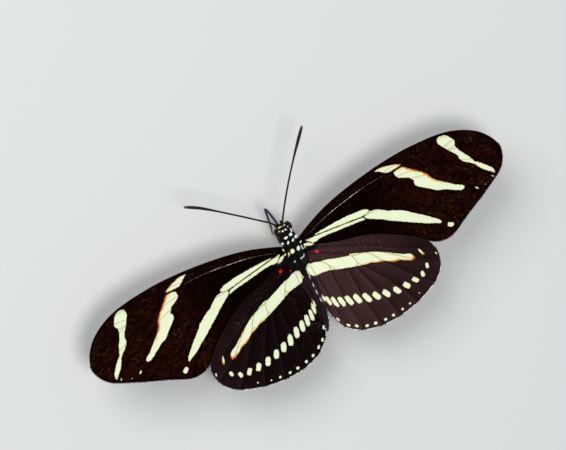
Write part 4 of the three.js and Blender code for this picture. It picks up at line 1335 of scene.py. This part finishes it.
def make_leg(kind, side):
    """Thigh, shin, beaded foot and two claws, with spines along shin and foot."""
    mirror = np.array([side, 1, 1])
    floor = SOLE - BODY_HEIGHT
    place = {joint: (np.array(at) - [0, 0, BODY_HEIGHT]) * mirror for joint, at in LEGS[kind].items()}
    hip, knee, ankle, toe = place.values()
    foot = toe * [1, 1, 0] + [0, 0, floor]
    rest = (ankle + toe) / 2 * [1, 1, 0] + [0, 0, floor]
    thigh = smooth([hip, (hip + knee) / 2 + [0, 0, 0.15], knee], 0.12)
    shin = smooth([knee, ankle], 0.12)
    toes = smooth([ankle, rest, foot], 0.06)
    t = np.linspace(0, 1, len(thigh))
    parts = [tube(thigh, 0.17 + 0.17 * np.sin(math.pi * t**0.7) ** 1.2, 14)]
    t = np.linspace(0, 1, len(shin))
    parts.append(tube(shin, 0.2 - 0.03 * t + 0.05 * np.exp(-((t / 0.06) ** 2)) + 0.04 * (t > 0.94)))
    t = np.linspace(0, 1, len(toes))
    beads = 1 - 0.25 * np.exp(-((((t * 5) % 1) - 0.02) ** 2) / 0.006)
    parts.append(tube(toes, (SOLE - 0.03 * t) * beads))
    for shift in (-CLAW_SPREAD, CLAW_SPREAD):
        bend = foot + mirror * [0.25, -0.1 + shift, 0.02]
        tip = foot + mirror * [0.42, -0.18 + shift, -0.15]
        claw = smooth([foot, bend, tip], 0.05)
        parts.append(tube(claw, np.linspace(0.06, 0.012, len(claw)), 8))
    seed = 31 + 2 * (side == LEFT) + 4 * (kind == "midleg")
    for bristles in (spines(shin, 0.19, 46, 0.3, seed), spines(toes, 0.14, 40, 0.14, seed + 20)):
        parts.append((*bristles, np.full(len(bristles[0]), 0.5)))
    points, triangles, along = joined(parts)
    points[:, 2] = np.maximum(points[:, 2], -BODY_HEIGHT)
    dress(f"{kind}_{SIDE_NAMES[side]}", "jointed", points, triangles, [leg_look], "leg", along=along)


def make_front_leg(side):
    """The small front leg, folded against the body and hairy like a brush."""
    line = smooth((np.array(FRONT_LEG) - [0, 0, BODY_HEIGHT]) * [side, 1, 1], 0.07)
    core = tube(line, 0.3 - 0.16 * np.linspace(0, 1, len(line)))
    hairs = spines(line, 0.2, 320, 0.45, 51 + side)
    points, triangles, along = joined([core, (*hairs, np.full(len(hairs[0]), 0.4))])
    dress(f"foreleg_{SIDE_NAMES[side]}", "brush", points, triangles, [leg_look], "leg", along=along)


for side in BOTH_SIDES:
    make_leg("midleg", side)
    make_leg("hindleg", side)
    make_front_leg(side)

# Floor, light and camera

FRAME_WIDTH, FRAME_HEIGHT = 566, 450
BODY_AT = (298.065, 261.144)  # where the body's middle shows in the picture
MM_PER_PIXEL = 0.19
CAMERA_DISTANCE = 500.0
CAMERA_TILT, CAMERA_AZIMUTH = math.radians(12), math.radians(142)
CAMERA_ROLL = math.radians(28.31)
SENSOR = 36.0
FLOOR_REACH = 4.0  # metres
FLOOR_GREYS = (0.70, 0.70, 0.69), (0.74, 0.74, 0.73)
# Place and width in metres, and power in watts
LIGHTS = {"key": ((0.20, -0.42, 0.62), 0.5, 2.9), "top": ((0.055, 0.10, 0.8), 0.24, 3.0)}
SKY_COLOUR, SKY_STRENGTH = (0.9, 0.95, 1.0, 1.0), 0.25


def make_floor():
    floor_mesh = bpy.data.meshes.new("floor")
    corners = [(x * FLOOR_REACH, y * FLOOR_REACH, 0) for x, y in ((-1, -1), (1, -1), (1, 1), (-1, 1))]
    floor_mesh.from_pydata(corners, [], [(0, 1, 2, 3)])
    look = Look("pale_floor", roughness=0.8, specular_ior_level=0.2)
    floor_mesh.materials.append(look.finish(look.mix(look.noise(0.002), *FLOOR_GREYS)))
    floor = bpy.data.objects.new("floor", floor_mesh)
    bpy.context.scene.collection.objects.link(floor)


def make_light(name, place, size, power):
    light = bpy.data.lights.new(name, "AREA")
    light.shape = "DISK"
    light.size = size
    light.energy = power
    lamp = bpy.data.objects.new(name, light)
    lamp.location = place
    lamp.rotation_euler = (-Vector(place)).to_track_quat("-Z", "Y").to_euler()
    bpy.context.scene.collection.objects.link(lamp)


def make_camera():
    aside = -math.sin(CAMERA_TILT)
    toward = Vector(
        (aside * math.cos(CAMERA_AZIMUTH), aside * math.sin(CAMERA_AZIMUTH), math.cos(CAMERA_TILT))
    )
    right = Vector((-math.cos(CAMERA_ROLL), math.sin(CAMERA_ROLL), 0))
    right = (right - toward * right.dot(toward)).normalized()
    up = toward.cross(right)
    camera_data = bpy.data.cameras.new("camera")
    camera_data.sensor_width = SENSOR
    camera_data.lens = SENSOR * CAMERA_DISTANCE / (FRAME_WIDTH * MM_PER_PIXEL)
    camera_data.shift_x = (FRAME_WIDTH / 2 - BODY_AT[0]) / FRAME_WIDTH
    camera_data.shift_y = (BODY_AT[1] - FRAME_HEIGHT / 2) / FRAME_WIDTH
    camera_data.clip_start, camera_data.clip_end = 0.01, 20
    camera = bpy.data.objects.new("camera", camera_data)
    place = Vector(TO_FLOOR * MM) + toward * CAMERA_DISTANCE * MM
    camera.matrix_world = Matrix.Translation(place) @ Matrix((right, up, toward)).transposed().to_4x4()
    bpy.context.scene.collection.objects.link(camera)
    bpy.context.scene.camera = camera


def make_sky():
    world = bpy.data.worlds.new("studio")
    world.use_nodes = True
    background = world.node_tree.nodes["Background"]
    background.inputs["Color"].default_value = SKY_COLOUR
    background.inputs["Strength"].default_value = SKY_STRENGTH
    bpy.context.scene.world = world


make_floor()
make_camera()
for name, (place, size, power) in LIGHTS.items():
    make_light(name, place, size, power)
make_sky()
bpy.context.scene.view_settings.view_transform = "Standard"
